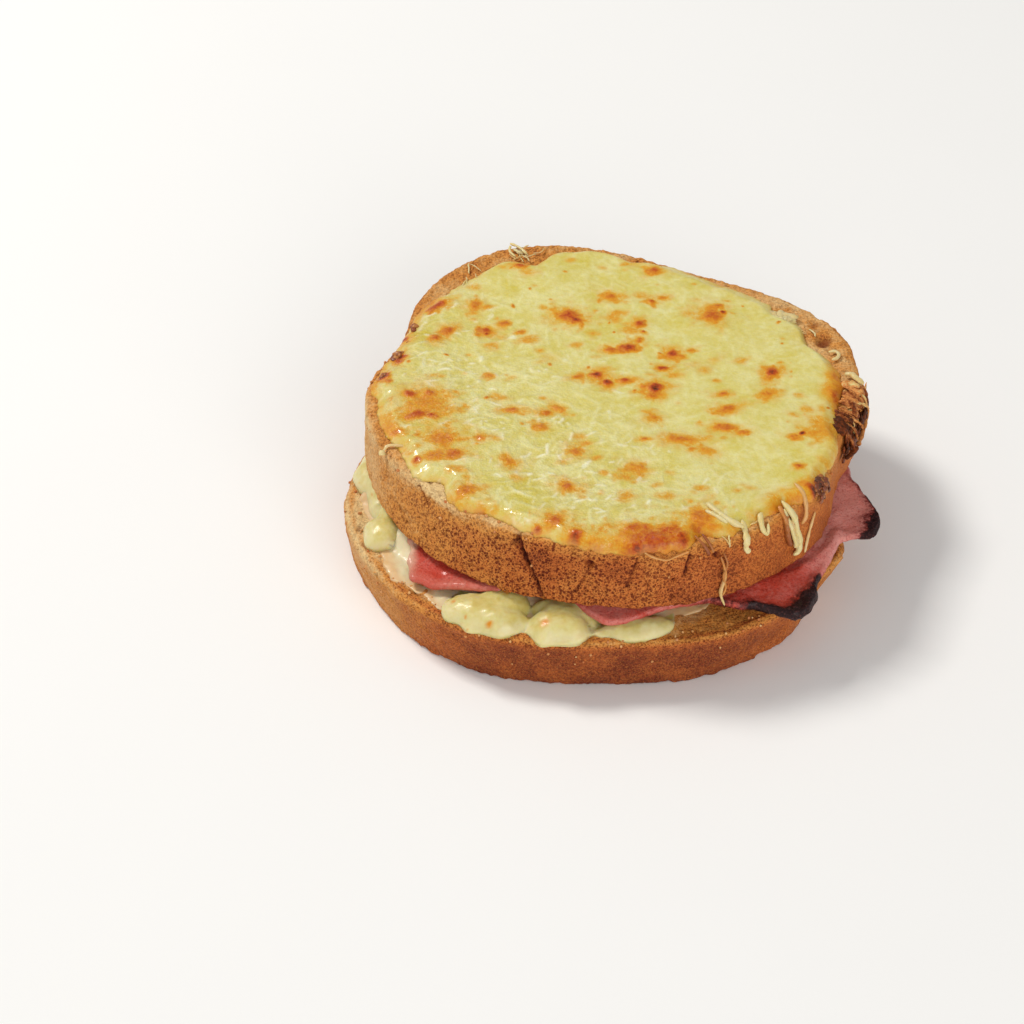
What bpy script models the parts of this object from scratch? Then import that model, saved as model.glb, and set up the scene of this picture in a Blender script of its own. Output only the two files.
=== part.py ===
"""A croque monsieur: two slices of a round-topped loaf, with melted cheese in white sauce and
one slice of ham between them, and grilled cheese melted over the top.

Frame: metres, +Z up, -Y towards the rounded crown of the loaf, +Y towards its flat base. The
origin is on the table, under the middle of the whole. The lengths named below are millimetres,
bearings are degrees anticlockwise from +X, and a swell is (bearing, width in degrees, millimetres).
"""

import math

import bmesh
import bpy

MM = 0.001
NAME = "croque_monsieur"
GAP = 0.3  # clear space between pieces that touch

# Thickness of each layer, from the table up
BOTTOM_THICK = 15.0
FILLING_THICK = 3.0
HAM_THICK = 2.0
TOP_THICK = 16.4
CHEESE_THICK = 2.6
FILLING_Z = BOTTOM_THICK + GAP
HAM_Z = FILLING_Z + FILLING_THICK + GAP
TOP_Z = HAM_Z + HAM_THICK + GAP
CHEESE_Z = TOP_Z + TOP_THICK + GAP

# Plan of the slices: the loaf's flat base is at 64 degrees, with a corner at each side of it,
# and the crown spreads from the notches at 158 and 342 degrees.
AROUND = 96
TOP_CENTRE = (0.0, 4.0)
TOP_RADIUS = 61.1
TOP_SWELLS = (
    (116, 24, 6.9), (158, 14, -5.0), (64, 20, -5.2), (23, 13, 2.3),
    (342, 15, -5.0), (306, 93, 4.7), (258, 18, -1.4), (190, 22, -0.6),
)
TOP_LEAN = ((226, 24, 4.6), (272, 26, 2.6), (312, 16, 1.0))  # how far its upper edge leans in over the crown
BOTTOM_CENTRE = (-3.0, -4.0)
BOTTOM_RADIUS = 61.5
BOTTOM_SWELLS = (
    (114, 24, 4.5), (154, 12, -4.5), (64, 20, -4.5), (22, 14, 2.0),
    (356, 12, -3.8), (336, 9, 6.0), (320, 10, 2.4), (303, 20, 5.6),
    (240, 26, 3.4), (212, 20, 2.6), (190, 14, 2.0), (172, 12, -0.8),
)
# How much more its crust draws in towards the table
BOTTOM_LEAN = ((335, 11, 6.6), (312, 12, 1.6), (300, 20, 2.4), (260, 24, 1.8), (210, 26, 2.2))
BOTTOM_DRAW = 0.6  # and how far it draws in all round
# The crust's side: (share of the slice's height, how far in from the plan)
CRUST_PROFILE = ((0.0, 1.1), (0.05, 0.4), (0.18, 0.0), (0.5, 0.0), (0.82, 0.05), (0.95, 0.4), (1.0, 1.1))

# Melted cheese in white sauce, with lumps that run out over the bottom slice
FILLING_RADIUS = 57.5
FILLING_LUMPS = (
    (206, 7.5, 12.0), (244, 7.5, 16.0), (259, 7.0, 12.5), (277, 12, 12.0),
    (115, 22, 2.5), (64, 20, -5.0),
)
FILLING_EDGE = 2.0  # its height at the edge, away from the lumps
FILLING_EDGE_RISES = ((206, 8, 3.2), (245, 7, 2.6), (259, 6, 2.0), (277, 12, -0.7))
# Its edge from underside to top: (share of the edge height, how far in from the plan)
FILLING_PROFILE = ((0.0, 2.6), (0.2, 0.8), (0.5, 0.0), (0.8, 0.7), (1.0, 2.4))
FILLING_STEP = 4.0  # degrees on each side over which it keeps clear of the ham
FILLING_FLAT = 46.0  # radius inside which its top is flat under the ham
HAM_BERTH = 3.0  # a lump stays below the ham until this far outside its edge

# Ham: a thin slice that droops at the left, bulges at the front and has two lobes at the right
HAM_CELLS = 26
HAM_RADIUS = 57.0
HAM_LOBES = (
    (225, 7, 12.8), (237, 8, 7.4), (272, 11, 7.0), (292, 9, 6.0), (303.5, 4.5, 9.5),
    (308, 6, 16.0), (317, 7, 10.0), (325, 7, 7.4), (334, 6, 11.0), (340.5, 6.5, 9.4),
    (351, 8, 4.2), (116, 22, 4.0), (64, 20, -6.5), (20, 12, 3.0),
)
HAM_DROOPS = ((225, 12, -2.6), (272, 13, -1.9), (309, 11, -2.7), (337, 9, -1.6), (118, 14, -0.8))
HAM_FLAT = 52.0  # radius at which the droop starts

# Grilled cheese over the top slice
CHEESE_CELLS = 26
CHEESE_RADIUS = 59.0
CHEESE_SWELLS = (
    (116, 14, 1.2), (156, 9, -3.2), (60, 26, -4.4), (22, 16, -4.0), (328, 12, 3.2),
    (318, 9, 1.8), (286, 18, 4.2), (222, 6, -2.2), (100, 8, 1.2),
)
CHEESE_EDGE = 1.2  # its height at the edge
CHEESE_WAVE = 0.35  # how far its top rises and falls

# Burnt frill of cheese that hangs over the crust at the right
CRISP_BEARINGS = (-15.0, 3.0)
CRISP_CELLS = (16, 8)
CRISP_THICK = 1.2
CRISP_RUFFLE = 0.5
CRISP_RUFFLES = 3.5
# Its section over the rim: (out from the crust, up from the slice's cut face)
CRISP_SECTION = ((1.0, 2.4), (1.6, 1.2), (1.7, -1.0), (1.4, -4.0), (1.2, -7.0), (1.6, -10.5))

# Look of each piece: colour, roughness
LOOKS = {
    "bread_bottom": ((0.42, 0.17, 0.055), 0.8),
    "cheese_filling": ((0.78, 0.69, 0.34), 0.35),
    "ham": ((0.58, 0.20, 0.17), 0.4),
    "bread_top": ((0.50, 0.23, 0.075), 0.8),
    "cheese_top": ((0.80, 0.68, 0.27), 0.35),
    "cheese_crisp": ((0.20, 0.06, 0.02), 0.55),
}


def clear_scene():
    for old in list(bpy.data.objects):
        bpy.data.objects.remove(old, do_unlink=True)


def swell_sum(bearing, swells):
    """The sum of smooth swells at a bearing."""
    total = 0.0
    for centre, width, amount in swells:
        away = (bearing - centre + 180.0) % 360.0 - 180.0
        total += amount * math.exp(-((away / width) ** 2))
    return total


def smooth(share):
    """0 to 1 with level ends."""
    share = min(max(share, 0.0), 1.0)
    return share * share * (3.0 - 2.0 * share)


def place(centre, bearing, radius, z):
    """A point in metres, from a bearing and a radius about a centre."""
    angle = math.radians(bearing)
    x = centre[0] + radius * math.cos(angle)
    y = centre[1] + radius * math.sin(angle)
    return (x * MM, y * MM, z * MM)


def bearings():
    return [360.0 * step / AROUND for step in range(AROUND)]


def link_piece(name, mesh, collection):
    """A named object with a material of its own, shaded smooth between sharp edges."""
    colour, roughness = LOOKS[name]
    material = bpy.data.materials.new(name)
    material.use_nodes = True
    shader = material.node_tree.nodes["Principled BSDF"]
    shader.inputs["Base Color"].default_value = (*colour, 1.0)
    shader.inputs["Roughness"].default_value = roughness
    shader.inputs["Metallic"].default_value = 0.0
    mesh.materials.append(material)
    mesh.shade_smooth()
    mesh.set_sharp_from_angle(angle=math.radians(50))
    piece = bpy.data.objects.new(name, mesh)
    collection.objects.link(piece)
    return piece


def loft(name, rings, collection):
    """A closed body through rings of points, lowest first, with a flat cap at each end."""
    mesh = bpy.data.meshes.new(name)
    build = bmesh.new()
    rows = [[build.verts.new(point) for point in ring] for ring in rings]
    for low, high in zip(rows, rows[1:]):
        for step in range(AROUND):
            after = (step + 1) % AROUND
            build.faces.new((low[step], low[after], high[after], high[step]))
    build.faces.new(list(reversed(rows[0])))
    build.faces.new(rows[-1])
    bmesh.ops.recalc_face_normals(build, faces=build.faces)
    build.to_mesh(mesh)
    build.free()
    return link_piece(name, mesh, collection)


def disc_grid(cells):
    """A square grid drawn out to a round disc, with each corner's bearing and share of the radius."""
    build = bmesh.new()
    bmesh.ops.create_grid(build, x_segments=cells, y_segments=cells, size=1.0)
    spots = {}
    for corner in build.verts:
        u, v = corner.co.x, corner.co.y
        share = max(abs(u), abs(v))
        x = u * math.sqrt(1.0 - 0.5 * v * v)
        y = v * math.sqrt(1.0 - 0.5 * u * u)
        spots[corner] = (math.degrees(math.atan2(y, x)) % 360.0, share)
    return build, spots


def make_slice(name, centre, radius, swells, z, thick, lean_of, collection):
    """A slice of bread: the loaf's plan, with rounded rims and a side that leans."""
    rings = []
    for share, inset in CRUST_PROFILE:
        ring = []
        for bearing in bearings():
            reach = radius + swell_sum(bearing, swells) - inset - lean_of(bearing, share)
            ring.append(place(centre, bearing, reach, z + thick * share))
        rings.append(ring)
    return loft(name, rings, collection)


def top_lean(bearing, share):
    return swell_sum(bearing, TOP_LEAN) * share


def bottom_lean(bearing, share):
    return (BOTTOM_DRAW + swell_sum(bearing, BOTTOM_LEAN)) * (1.0 - share)


def ham_reach(bearing):
    return HAM_RADIUS + swell_sum(bearing, HAM_LOBES)


def ham_middle(bearing, radius):
    """Height of the middle of the ham's thickness."""
    share = (radius - HAM_FLAT) / max(ham_reach(bearing) - HAM_FLAT, 1.0)
    return HAM_Z + HAM_THICK / 2.0 + swell_sum(bearing, HAM_DROOPS) * smooth(share)


def filling_top(bearing, radius, wanted):
    """The wanted height, held down where the ham lies over it."""
    nearest = max(ham_reach(bearing + side) for side in (-FILLING_STEP, 0.0, FILLING_STEP))
    ceiling = ham_middle(bearing, radius) - HAM_THICK / 2.0 - 2.0 * GAP
    clear = smooth((radius - nearest - HAM_BERTH / 3.0) / HAM_BERTH)
    return min(wanted, ceiling + (HAM_THICK + 3.0 * GAP) * clear)


def make_filling(collection):
    rings = []
    for share, inset in FILLING_PROFILE:
        ring = []
        for bearing in bearings():
            reach = FILLING_RADIUS + swell_sum(bearing, FILLING_LUMPS) - inset
            height = FILLING_EDGE + swell_sum(bearing, FILLING_EDGE_RISES)
            z = filling_top(bearing, reach, FILLING_Z + height * share)
            ring.append(place(TOP_CENTRE, bearing, reach, z))
        rings.append(ring)
    under_ham = []
    for bearing in bearings():
        edge = FILLING_RADIUS + swell_sum(bearing, FILLING_LUMPS) - FILLING_PROFILE[-1][1]
        reach = min(edge - 1.0, ham_reach(bearing) + HAM_BERTH / 2.0)
        z = filling_top(bearing, reach, HAM_Z - 2.0 * GAP)
        under_ham.append(place(TOP_CENTRE, bearing, reach, z))
    rings.append(under_ham)
    rings.append([place(TOP_CENTRE, bearing, FILLING_FLAT, HAM_Z - GAP) for bearing in bearings()])
    return loft("cheese_filling", rings, collection)


def make_ham(collection):
    """A slice of ham as an open disc with an uneven edge, given its thickness by Solidify."""
    mesh = bpy.data.meshes.new("ham")
    build, spots = disc_grid(HAM_CELLS)
    for corner, (bearing, share) in spots.items():
        radius = ham_reach(bearing) * share
        corner.co = place(TOP_CENTRE, bearing, radius, ham_middle(bearing, radius))
    build.to_mesh(mesh)
    build.free()
    ham = link_piece("ham", mesh, collection)
    body = ham.modifiers.new("thickness", "SOLIDIFY")
    body.thickness = HAM_THICK * MM
    body.offset = 0.0
    return ham


def make_cheese_top(collection):
    """Cheese melted over the top slice: uneven on top, thin at its edge and flat underneath."""
    mesh = bpy.data.meshes.new("cheese_top")
    build, spots = disc_grid(CHEESE_CELLS)
    for corner, (bearing, share) in spots.items():
        radius = (CHEESE_RADIUS + swell_sum(bearing, CHEESE_SWELLS)) * share
        x, y, _ = place((0.0, 0.0), bearing, radius, 0.0)
        wave = math.sin(x / MM * 0.21 + 1.3) * math.cos(y / MM * 0.17 - 0.4)
        wave += 0.6 * math.sin((x + 1.7 * y) / MM * 0.13)
        body = CHEESE_EDGE + (CHEESE_THICK - CHEESE_EDGE) * math.sqrt(1.0 - share**4)
        height = body + CHEESE_WAVE * wave * (1.0 - share**6)
        corner.co = place(TOP_CENTRE, bearing, radius, CHEESE_Z + height)
    rim = [edge for edge in build.edges if edge.is_boundary]
    skirt = bmesh.ops.extrude_edge_only(build, edges=rim)["geom"]
    for corner in skirt:
        if isinstance(corner, bmesh.types.BMVert):
            corner.co.z = CHEESE_Z * MM
    bmesh.ops.holes_fill(build, edges=[edge for edge in build.edges if edge.is_boundary])
    bmesh.ops.recalc_face_normals(build, faces=build.faces)
    build.to_mesh(mesh)
    build.free()
    return link_piece("cheese_top", mesh, collection)


def along(section, share):
    """A point a share of the way along a list of points, corner to corner."""
    place_in = share * (len(section) - 1)
    first = min(int(place_in), len(section) - 2)
    part = place_in - first
    return tuple(a + (b - a) * part for a, b in zip(section[first], section[first + 1]))


def make_cheese_crisp(collection):
    """A ruffled sheet of burnt cheese, hooked over the rim of the top slice."""
    mesh = bpy.data.meshes.new("cheese_crisp")
    build = bmesh.new()
    bmesh.ops.create_grid(build, x_segments=CRISP_CELLS[0], y_segments=CRISP_CELLS[1], size=1.0)
    first, last = CRISP_BEARINGS
    for corner in build.verts:
        sideways = (corner.co.x + 1.0) / 2.0
        down = (corner.co.y + 1.0) / 2.0
        bearing = first + (last - first) * sideways
        taper = 1.0 - 0.45 * abs(2.0 * sideways - 0.9) ** 3
        out, up = along(CRISP_SECTION, down * taper)
        rim = TOP_RADIUS + swell_sum(bearing, TOP_SWELLS)
        ruffle = CRISP_RUFFLE * (1.0 + math.sin(2.0 * math.pi * CRISP_RUFFLES * sideways)) * down
        z = TOP_Z + TOP_THICK + up
        corner.co = place(TOP_CENTRE, bearing, rim + out + ruffle, z)
    build.to_mesh(mesh)
    build.free()
    crisp = link_piece("cheese_crisp", mesh, collection)
    body = crisp.modifiers.new("thickness", "SOLIDIFY")
    body.thickness = CRISP_THICK * MM
    body.offset = 0.0
    return crisp


def stand_on_origin(pieces):
    """Moves the pieces together so that the origin is under the middle of their box."""
    bpy.context.view_layer.update()
    graph = bpy.context.evaluated_depsgraph_get()
    corners = []
    for piece in pieces:
        shape = piece.evaluated_get(graph).to_mesh()
        corners += [vertex.co.copy() for vertex in shape.vertices]
    middle_x = (min(c.x for c in corners) + max(c.x for c in corners)) / 2.0
    middle_y = (min(c.y for c in corners) + max(c.y for c in corners)) / 2.0
    for piece in pieces:
        piece.location = (-middle_x, -middle_y, 0.0)


def main():
    clear_scene()
    collection = bpy.data.collections.new(NAME)
    bpy.context.scene.collection.children.link(collection)
    pieces = [
        make_slice("bread_bottom", BOTTOM_CENTRE, BOTTOM_RADIUS, BOTTOM_SWELLS, 0.0, BOTTOM_THICK,
                   bottom_lean, collection),
        make_filling(collection),
        make_ham(collection),
        make_slice("bread_top", TOP_CENTRE, TOP_RADIUS, TOP_SWELLS, TOP_Z, TOP_THICK, top_lean, collection),
        make_cheese_top(collection),
        make_cheese_crisp(collection),
    ]
    stand_on_origin(pieces)


main()
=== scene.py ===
"""Looks of a croque monsieur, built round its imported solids.

Lengths are in millimetres and bearings in degrees, anticlockwise from +X, unless a name says otherwise.
The bread and the ham are read from their own solids and made finer. The melted cheese, the filling and the
sauce are laid over them, close to their own solids. Each gets the relief and the browning of real food.
"""
import math

import bpy
import numpy as np
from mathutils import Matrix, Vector
from mathutils.bvhtree import BVHTree
from mathutils.kdtree import KDTree


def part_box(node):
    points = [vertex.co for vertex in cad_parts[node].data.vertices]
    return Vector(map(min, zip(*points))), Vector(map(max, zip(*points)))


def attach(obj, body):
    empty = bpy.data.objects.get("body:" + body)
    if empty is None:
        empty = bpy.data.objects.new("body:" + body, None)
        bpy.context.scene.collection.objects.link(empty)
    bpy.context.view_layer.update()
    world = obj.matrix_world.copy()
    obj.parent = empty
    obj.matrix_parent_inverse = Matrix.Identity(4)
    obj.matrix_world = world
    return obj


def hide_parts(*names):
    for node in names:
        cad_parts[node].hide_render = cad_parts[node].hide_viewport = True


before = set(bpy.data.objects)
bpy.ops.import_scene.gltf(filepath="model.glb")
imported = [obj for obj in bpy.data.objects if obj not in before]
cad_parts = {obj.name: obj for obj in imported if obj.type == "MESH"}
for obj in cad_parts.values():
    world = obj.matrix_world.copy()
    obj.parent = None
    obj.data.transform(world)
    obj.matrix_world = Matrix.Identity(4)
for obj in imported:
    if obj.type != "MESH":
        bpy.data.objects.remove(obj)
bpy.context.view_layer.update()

MM = 0.001
# Where rays at a solid start, how many bearings are read, the waves kept, and the length of a smooth ring.
FAR = 200.0
READ_BEARINGS = 192
READ_WAVES = 44
TABLE = 2880

# Where the slices are centred, and how far their corners are rounded.
TOP_MIDDLE = (-0.72, 2.80)
BOTTOM_MIDDLE = (-3.72, -5.20)
TOP_ROUNDING = 2.1
BOTTOM_ROUNDING = 1.6
FOOT_ROUNDING = 1.0

# Camera and light.
LOOK_AT = (-24.72, 0.80, 0.0)
CAMERA_RISE = 39.5
CAMERA_AWAY = 970.0
CAMERA_LENS = 132.8
SENSOR = 36.0

# Linear colours.
CRUMB_PALE = (0.80, 0.57, 0.27)
CRUST_GOLD = (0.68, 0.285, 0.057)
CRUST_AMBER = (0.50, 0.130, 0.024)
CRUST_BROWN = (0.21, 0.036, 0.010)
CRUST_DARK = (0.070, 0.018, 0.008)
# Painted shade multiplied into the crust's pores, together with its darker fine specks.
PORE_PAINTED_SHADE_AND_SPECKS = (0.30, 0.14, 0.10)
# Painted shade multiplied into cracks, pits and large pores.
CRACK_PAINTED_SHADE = (0.28, 0.12, 0.08)
CHEESE_CREAM = (0.74, 0.68, 0.29)
CHEESE_YELLOW = (0.62, 0.505, 0.055)
CHEESE_AMBER = (0.68, 0.265, 0.008)
CHEESE_RUST = (0.47, 0.064, 0.002)
CHEESE_HALO = (0.72, 0.47, 0.045)
# Painted glint: near-white streaks laid into the cheese's colour where it looks wet.
CHEESE_PAINTED_GLINT = (0.90, 0.88, 0.66)
CHEESE_EDGE = (0.70, 0.40, 0.11)
CHEESE_CHAR = (0.066, 0.016, 0.004)
FILLING_CREAM = (0.68, 0.62, 0.28)
FILLING_DEEP = (0.60, 0.485, 0.12)
SHRED_CREAM = (0.76, 0.67, 0.36)
SHRED_DEEP = (0.70, 0.57, 0.22)
SHRED_GOLD = (0.62, 0.25, 0.05)
SAUCE_CREAM = (0.81, 0.74, 0.47)
SAUCE_DEEP = (0.80, 0.66, 0.40)
HAM_RED = (0.56, 0.062, 0.036)
# Pink meat; mixed in also as painted light where the ham lies in shade.
HAM_PINK_AND_PAINTED_LIGHT = (0.70, 0.27, 0.225)
HAM_FAT = (0.74, 0.47, 0.33)
HAM_SEARED = (0.19, 0.024, 0.018)
HAM_CHAR = (0.026, 0.007, 0.008)
HAM_ASH = (0.095, 0.030, 0.028)
HAM_SPECK = (0.66, 0.34, 0.34)
FRIED_GOLD = (0.74, 0.30, 0.080)
FRIED_BROWN = (0.24, 0.052, 0.010)
FLOOR_PALE = (0.92, 0.92, 0.91)


# ------------------------------------------------------------------ small sums


def ease(value, low, high):
    """0 at low, 1 at high and a smooth step between them."""
    share = np.clip((value - low) / (high - low), 0.0, 1.0)
    return share * share * (3.0 - 2.0 * share)


def humps(bearing, each):
    """Smooth humps round the sandwich; each is (bearing, half width, height)."""
    total = np.zeros(np.shape(bearing))
    for at, width, height in each:
        total = total + height * np.exp(-((off_bearing(bearing, at) / width) ** 2))
    return total


def bearings(count):
    """Bearings evenly round the sandwich."""
    return np.linspace(0.0, 360.0, count, endpoint=False)


def off_bearing(bearing, at):
    """How far round a bearing is from another, from -180 to 180."""
    return (bearing - at + 180.0) % 360.0 - 180.0


def rounded_edge(share):
    """Height of a quarter round: 0 at share 0 and 1 at share 1 and beyond."""
    return np.sqrt(np.clip(1.0 - (1.0 - np.clip(share, 0.0, 1.0)) ** 2, 0.0, 1.0))


def drawn(rng, *ranges):
    """A random number from each range in turn."""
    return tuple(rng.uniform(low, high) for low, high in ranges)


def corner_values(i, j, k, seed):
    """Fixed values from -1 to 1 at the whole-numbered corners of a lattice."""
    key = i * 73856093 ^ j * 19349663 ^ k * 83492791 ^ seed * 40503
    key = (key ^ (key >> 13)) * 1274126177 & 0xFFFFFFFF
    key = (key ^ (key >> 15)) * 668265263 & 0xFFFFFFFF
    return (key >> 8) / float(0x7FFFFF) - 1.0


def waves(x, y, z, size, seed):
    """Smooth random waves from -1 to 1, with humps about size across."""
    scaled = [np.asarray(v, float) / size + 1000.0 for v in np.broadcast_arrays(x, y, z)]
    corner = [np.floor(v).astype(np.int64) for v in scaled]
    part = [v - c for v, c in zip(scaled, corner)]
    part = [p * p * (3.0 - 2.0 * p) for p in part]
    total = 0.0
    for step in range(8):
        near = [(step >> axis) & 1 for axis in range(3)]
        weight = 1.0
        for p, n in zip(part, near):
            weight = weight * (p if n else 1.0 - p)
        total = total + weight * corner_values(*[c + n for c, n in zip(corner, near)], seed)
    return total


def layered_waves(x, y, z, size, seed, layers=3):
    """Waves with finer, weaker waves laid over them."""
    total = 0.0
    for layer in range(layers):
        total = total + waves(x, y, z, size / 2.1**layer, seed + layer) * 0.55**layer
    return total


# ------------------------------------------------------------------ reading the solids


def solid_of(node):
    """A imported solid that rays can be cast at."""
    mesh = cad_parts[node].data
    corners = [vertex.co / MM for vertex in mesh.vertices]
    return BVHTree.FromPolygons(corners, [tuple(face.vertices) for face in mesh.polygons])


def smooth_ring(values, waves_kept=READ_WAVES):
    """Values read round a piece, without the flats of its faceted solid, as a table of TABLE + 1."""
    kept = np.fft.rfft(values)
    kept[waves_kept:] = 0.0
    fine = np.fft.irfft(kept, TABLE) * TABLE / len(values)
    return np.append(fine, fine[0])


def at_bearing(table, bearing):
    """Values of a smooth ring at any bearings."""
    return np.interp((np.asarray(bearing) % 360.0) / 360.0 * TABLE, np.arange(TABLE + 1), table)


def reach_round(solid, middle, height):
    """How far a solid reaches at each bearing that is read, at one height."""
    found = []
    for bearing in np.arange(READ_BEARINGS) * math.tau / READ_BEARINGS:
        out = Vector((math.cos(bearing), math.sin(bearing), 0.0))
        start = Vector((middle[0], middle[1], height)) + out * FAR
        hit = solid.ray_cast(start, -out)
        found.append(FAR - hit[3] if hit[3] is not None else 0.0)
    return np.array(found)


def height_at(solid, x, y, down=True):
    """Height of the upper face of a solid at a point, or of its lower face, or None."""
    start = Vector((x, y, FAR if down else -FAR))
    hit = solid.ray_cast(start, Vector((0.0, 0.0, -1.0 if down else 1.0)))
    return hit[0].z if hit[0] is not None else None


class Slice:
    """The smooth skin of a slice of bread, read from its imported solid."""

    def __init__(self, node, middle, rounding):
        lowest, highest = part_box(node)
        self.middle = middle
        self.rounding = rounding
        self.foot = FOOT_ROUNDING
        self.low = lowest[2] / MM
        self.high = highest[2] / MM
        self.levels = self.low + (self.high - self.low) * np.array((0.2, 0.5, 0.8))
        solid = solid_of(node)
        self.rings = [smooth_ring(reach_round(solid, middle, level)) for level in self.levels]

    def side(self, bearing, height):
        """How far the slice reaches at a bearing and height."""
        lower, middle, upper = (at_bearing(ring, bearing) for ring in self.rings)
        step = (height - self.levels[0]) / (self.levels[1] - self.levels[0])
        below = lower + (middle - lower) * step
        above = middle + (upper - middle) * (step - 1.0)
        return np.where(step < 1.0, below, above)

    def rim(self, bearing):
        """How far the slice reaches at the height where its rim begins to turn."""
        return self.side(bearing, self.high - self.rounding)

    def over(self, bearing, past, lift):
        """Points raised off the skin by lift: on the upper face where past is below 0, else down the side."""
        bearing, past, lift = np.broadcast_arrays(bearing, past, lift)
        rim = self.rim(bearing)
        flat = -self.rounding
        turn = np.clip((past - flat) / self.rounding, 0.0, math.pi / 2)
        down = np.clip(past - flat - self.rounding * math.pi / 2, 0.0, None)
        height = self.high - self.rounding * (1.0 - np.cos(turn)) - down
        reach = np.where(down > 0.0, self.side(bearing, height), rim)
        radius = np.minimum(past - flat, 0.0) + reach - self.rounding * (1.0 - np.sin(turn))
        return self.place(bearing, radius + lift * np.sin(turn), height + lift * np.cos(turn))

    def place(self, bearing, radius, height):
        """Points at bearings and distances from the slice's middle."""
        angle = np.radians(bearing)
        x = self.middle[0] + radius * np.cos(angle)
        y = self.middle[1] + radius * np.sin(angle)
        return np.stack((x, y, height + 0.0 * x), -1)


# ------------------------------------------------------------------ making meshes


def put_in_scene(name, data):
    """A new object in the scene, from a mesh, a light or a camera."""
    thing = bpy.data.objects.new(name, data)
    bpy.context.scene.collection.objects.link(thing)
    return thing


def make_piece(name, points, faces, marks, finish, standing_for):
    """A mesh piece, from points in millimetres and a list of faces, with its marks and its finish."""
    mesh = bpy.data.meshes.new(name)
    mesh.from_pydata((np.asarray(points) * MM).tolist(), [], faces)
    mesh.polygons.foreach_set("use_smooth", np.ones(len(mesh.polygons), bool))
    for mark, values in marks.items():
        layer = mesh.attributes.new(mark, "FLOAT", "POINT")
        layer.data.foreach_set("value", np.asarray(values, np.float32).ravel())
    mesh.materials.append(finish)
    mesh.update()
    piece = put_in_scene(name, mesh)
    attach(piece, "root")
    if standing_for:
        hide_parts(*standing_for)


def ring_faces(rows, around):
    """Quads between rings of points that close on themselves."""
    here = np.arange(around)
    there = (here + 1) % around
    faces = []
    for row in range(rows - 1):
        low = row * around
        high = low + around
        faces.append(np.stack((low + here, low + there, high + there, high + here), 1))
    return np.concatenate(faces).tolist()


def cap_faces(ring_start, around, centre, upward):
    """A fan that closes a ring at its centre point."""
    faces = []
    for here in range(around):
        a = ring_start + here
        b = ring_start + (here + 1) % around
        faces.append((a, b, centre) if upward else (b, a, centre))
    return faces


def closed_rings(rings):
    """Points and faces of stacked rings, closed at both ends. The first ring is the underside."""
    rows, around = rings.shape[:2]
    ends = np.stack((rings[0].mean(0), rings[-1].mean(0)))
    points = np.concatenate((rings.reshape(-1, 3), ends))
    faces = ring_faces(rows, around)
    faces += cap_faces(0, around, rows * around, False)
    faces += cap_faces((rows - 1) * around, around, rows * around + 1, True)
    return points, faces


def with_ends(values):
    """Marks of closed rings, with the two end points added."""
    values = np.asarray(values, float)
    return np.append(values.ravel(), (values[0].mean(), values[-1].mean()))


def make_ringed_piece(name, rings, marks, finish, standing_for):
    """A closed piece of stacked rings; each mark has a value at each point of the rings."""
    points, faces = closed_rings(rings)
    marks = {mark: with_ends(values) for mark, values in marks.items()}
    make_piece(name, points, faces, marks, finish, standing_for)


def tube(path, thickness, sides, flatness, twist=0.0):
    """Rings of a strand that follows a path, rounded off at both ends."""
    path = np.asarray(path, float)
    count = len(path)
    share = np.linspace(-1.0, 1.0, count)
    tip = np.sqrt(np.clip(1.0 - np.abs(share) ** 6, 0.012, 1.0))
    radius = np.broadcast_to(thickness, count) / 2.0 * tip
    ahead = np.gradient(path, axis=0)
    ahead /= np.linalg.norm(ahead, axis=1, keepdims=True) + 1e-9
    across = np.cross(ahead[0], (0.31, 0.27, 0.91))
    rings = []
    for step in range(count):
        across = across - ahead[step] * np.dot(across, ahead[step])
        across /= np.linalg.norm(across) + 1e-9
        up = np.cross(ahead[step], across)
        angle = np.linspace(0.0, math.tau, sides, endpoint=False) + twist * share[step]
        ring = np.outer(np.cos(angle), across) + np.outer(np.sin(angle) * flatness, up)
        rings.append(path[step] + ring * radius[step])
    return np.array(rings)


def curve_through(points, steps):
    """A smooth path through a few points."""
    points = np.asarray(points, float)
    ends = np.concatenate((2 * points[:1] - points[1:2], points, 2 * points[-1:] - points[-2:-1]))
    at = np.linspace(0.0, len(points) - 1.0, steps)
    first = np.minimum(at.astype(int), len(points) - 2)
    t = (at - first)[:, None]
    a, b, c, d = (ends[first + shift] for shift in range(4))
    return 0.5 * (2 * b + (c - a) * t + (2 * a - 5 * b + 4 * c - d) * t**2 + (3 * b - a - 3 * c + d) * t**3)


class Gather:
    """Collects many small closed bodies into one piece."""

    def __init__(self):
        self.points = []
        self.faces = []
        self.marks = []
        self.count = 0

    def add(self, rings, mark):
        """One more closed body, with its mark."""
        points, faces = closed_rings(rings)
        self.points.append(points)
        self.faces += [tuple(self.count + corner for corner in face) for face in faces]
        self.marks.append(with_ends(np.broadcast_to(mark, rings.shape[:2])))
        self.count += len(points)

    def piece(self, name, mark, finish, standing_for, slot):
        """Makes the one piece of all that was gathered."""
        marks = {mark: np.concatenate(self.marks)}
        make_piece(name, np.concatenate(self.points), self.faces, marks, finish, standing_for)


# ------------------------------------------------------------------ shader parts


def feed(tree, socket, value):
    """Links a value from another node to a socket, or sets it there."""
    if isinstance(value, bpy.types.NodeSocket):
        tree.links.new(value, socket)
    elif hasattr(socket.default_value, "__len__") and len(value) == 3 and len(socket.default_value) == 4:
        socket.default_value = (*value, 1.0)
    else:
        socket.default_value = value


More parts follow.
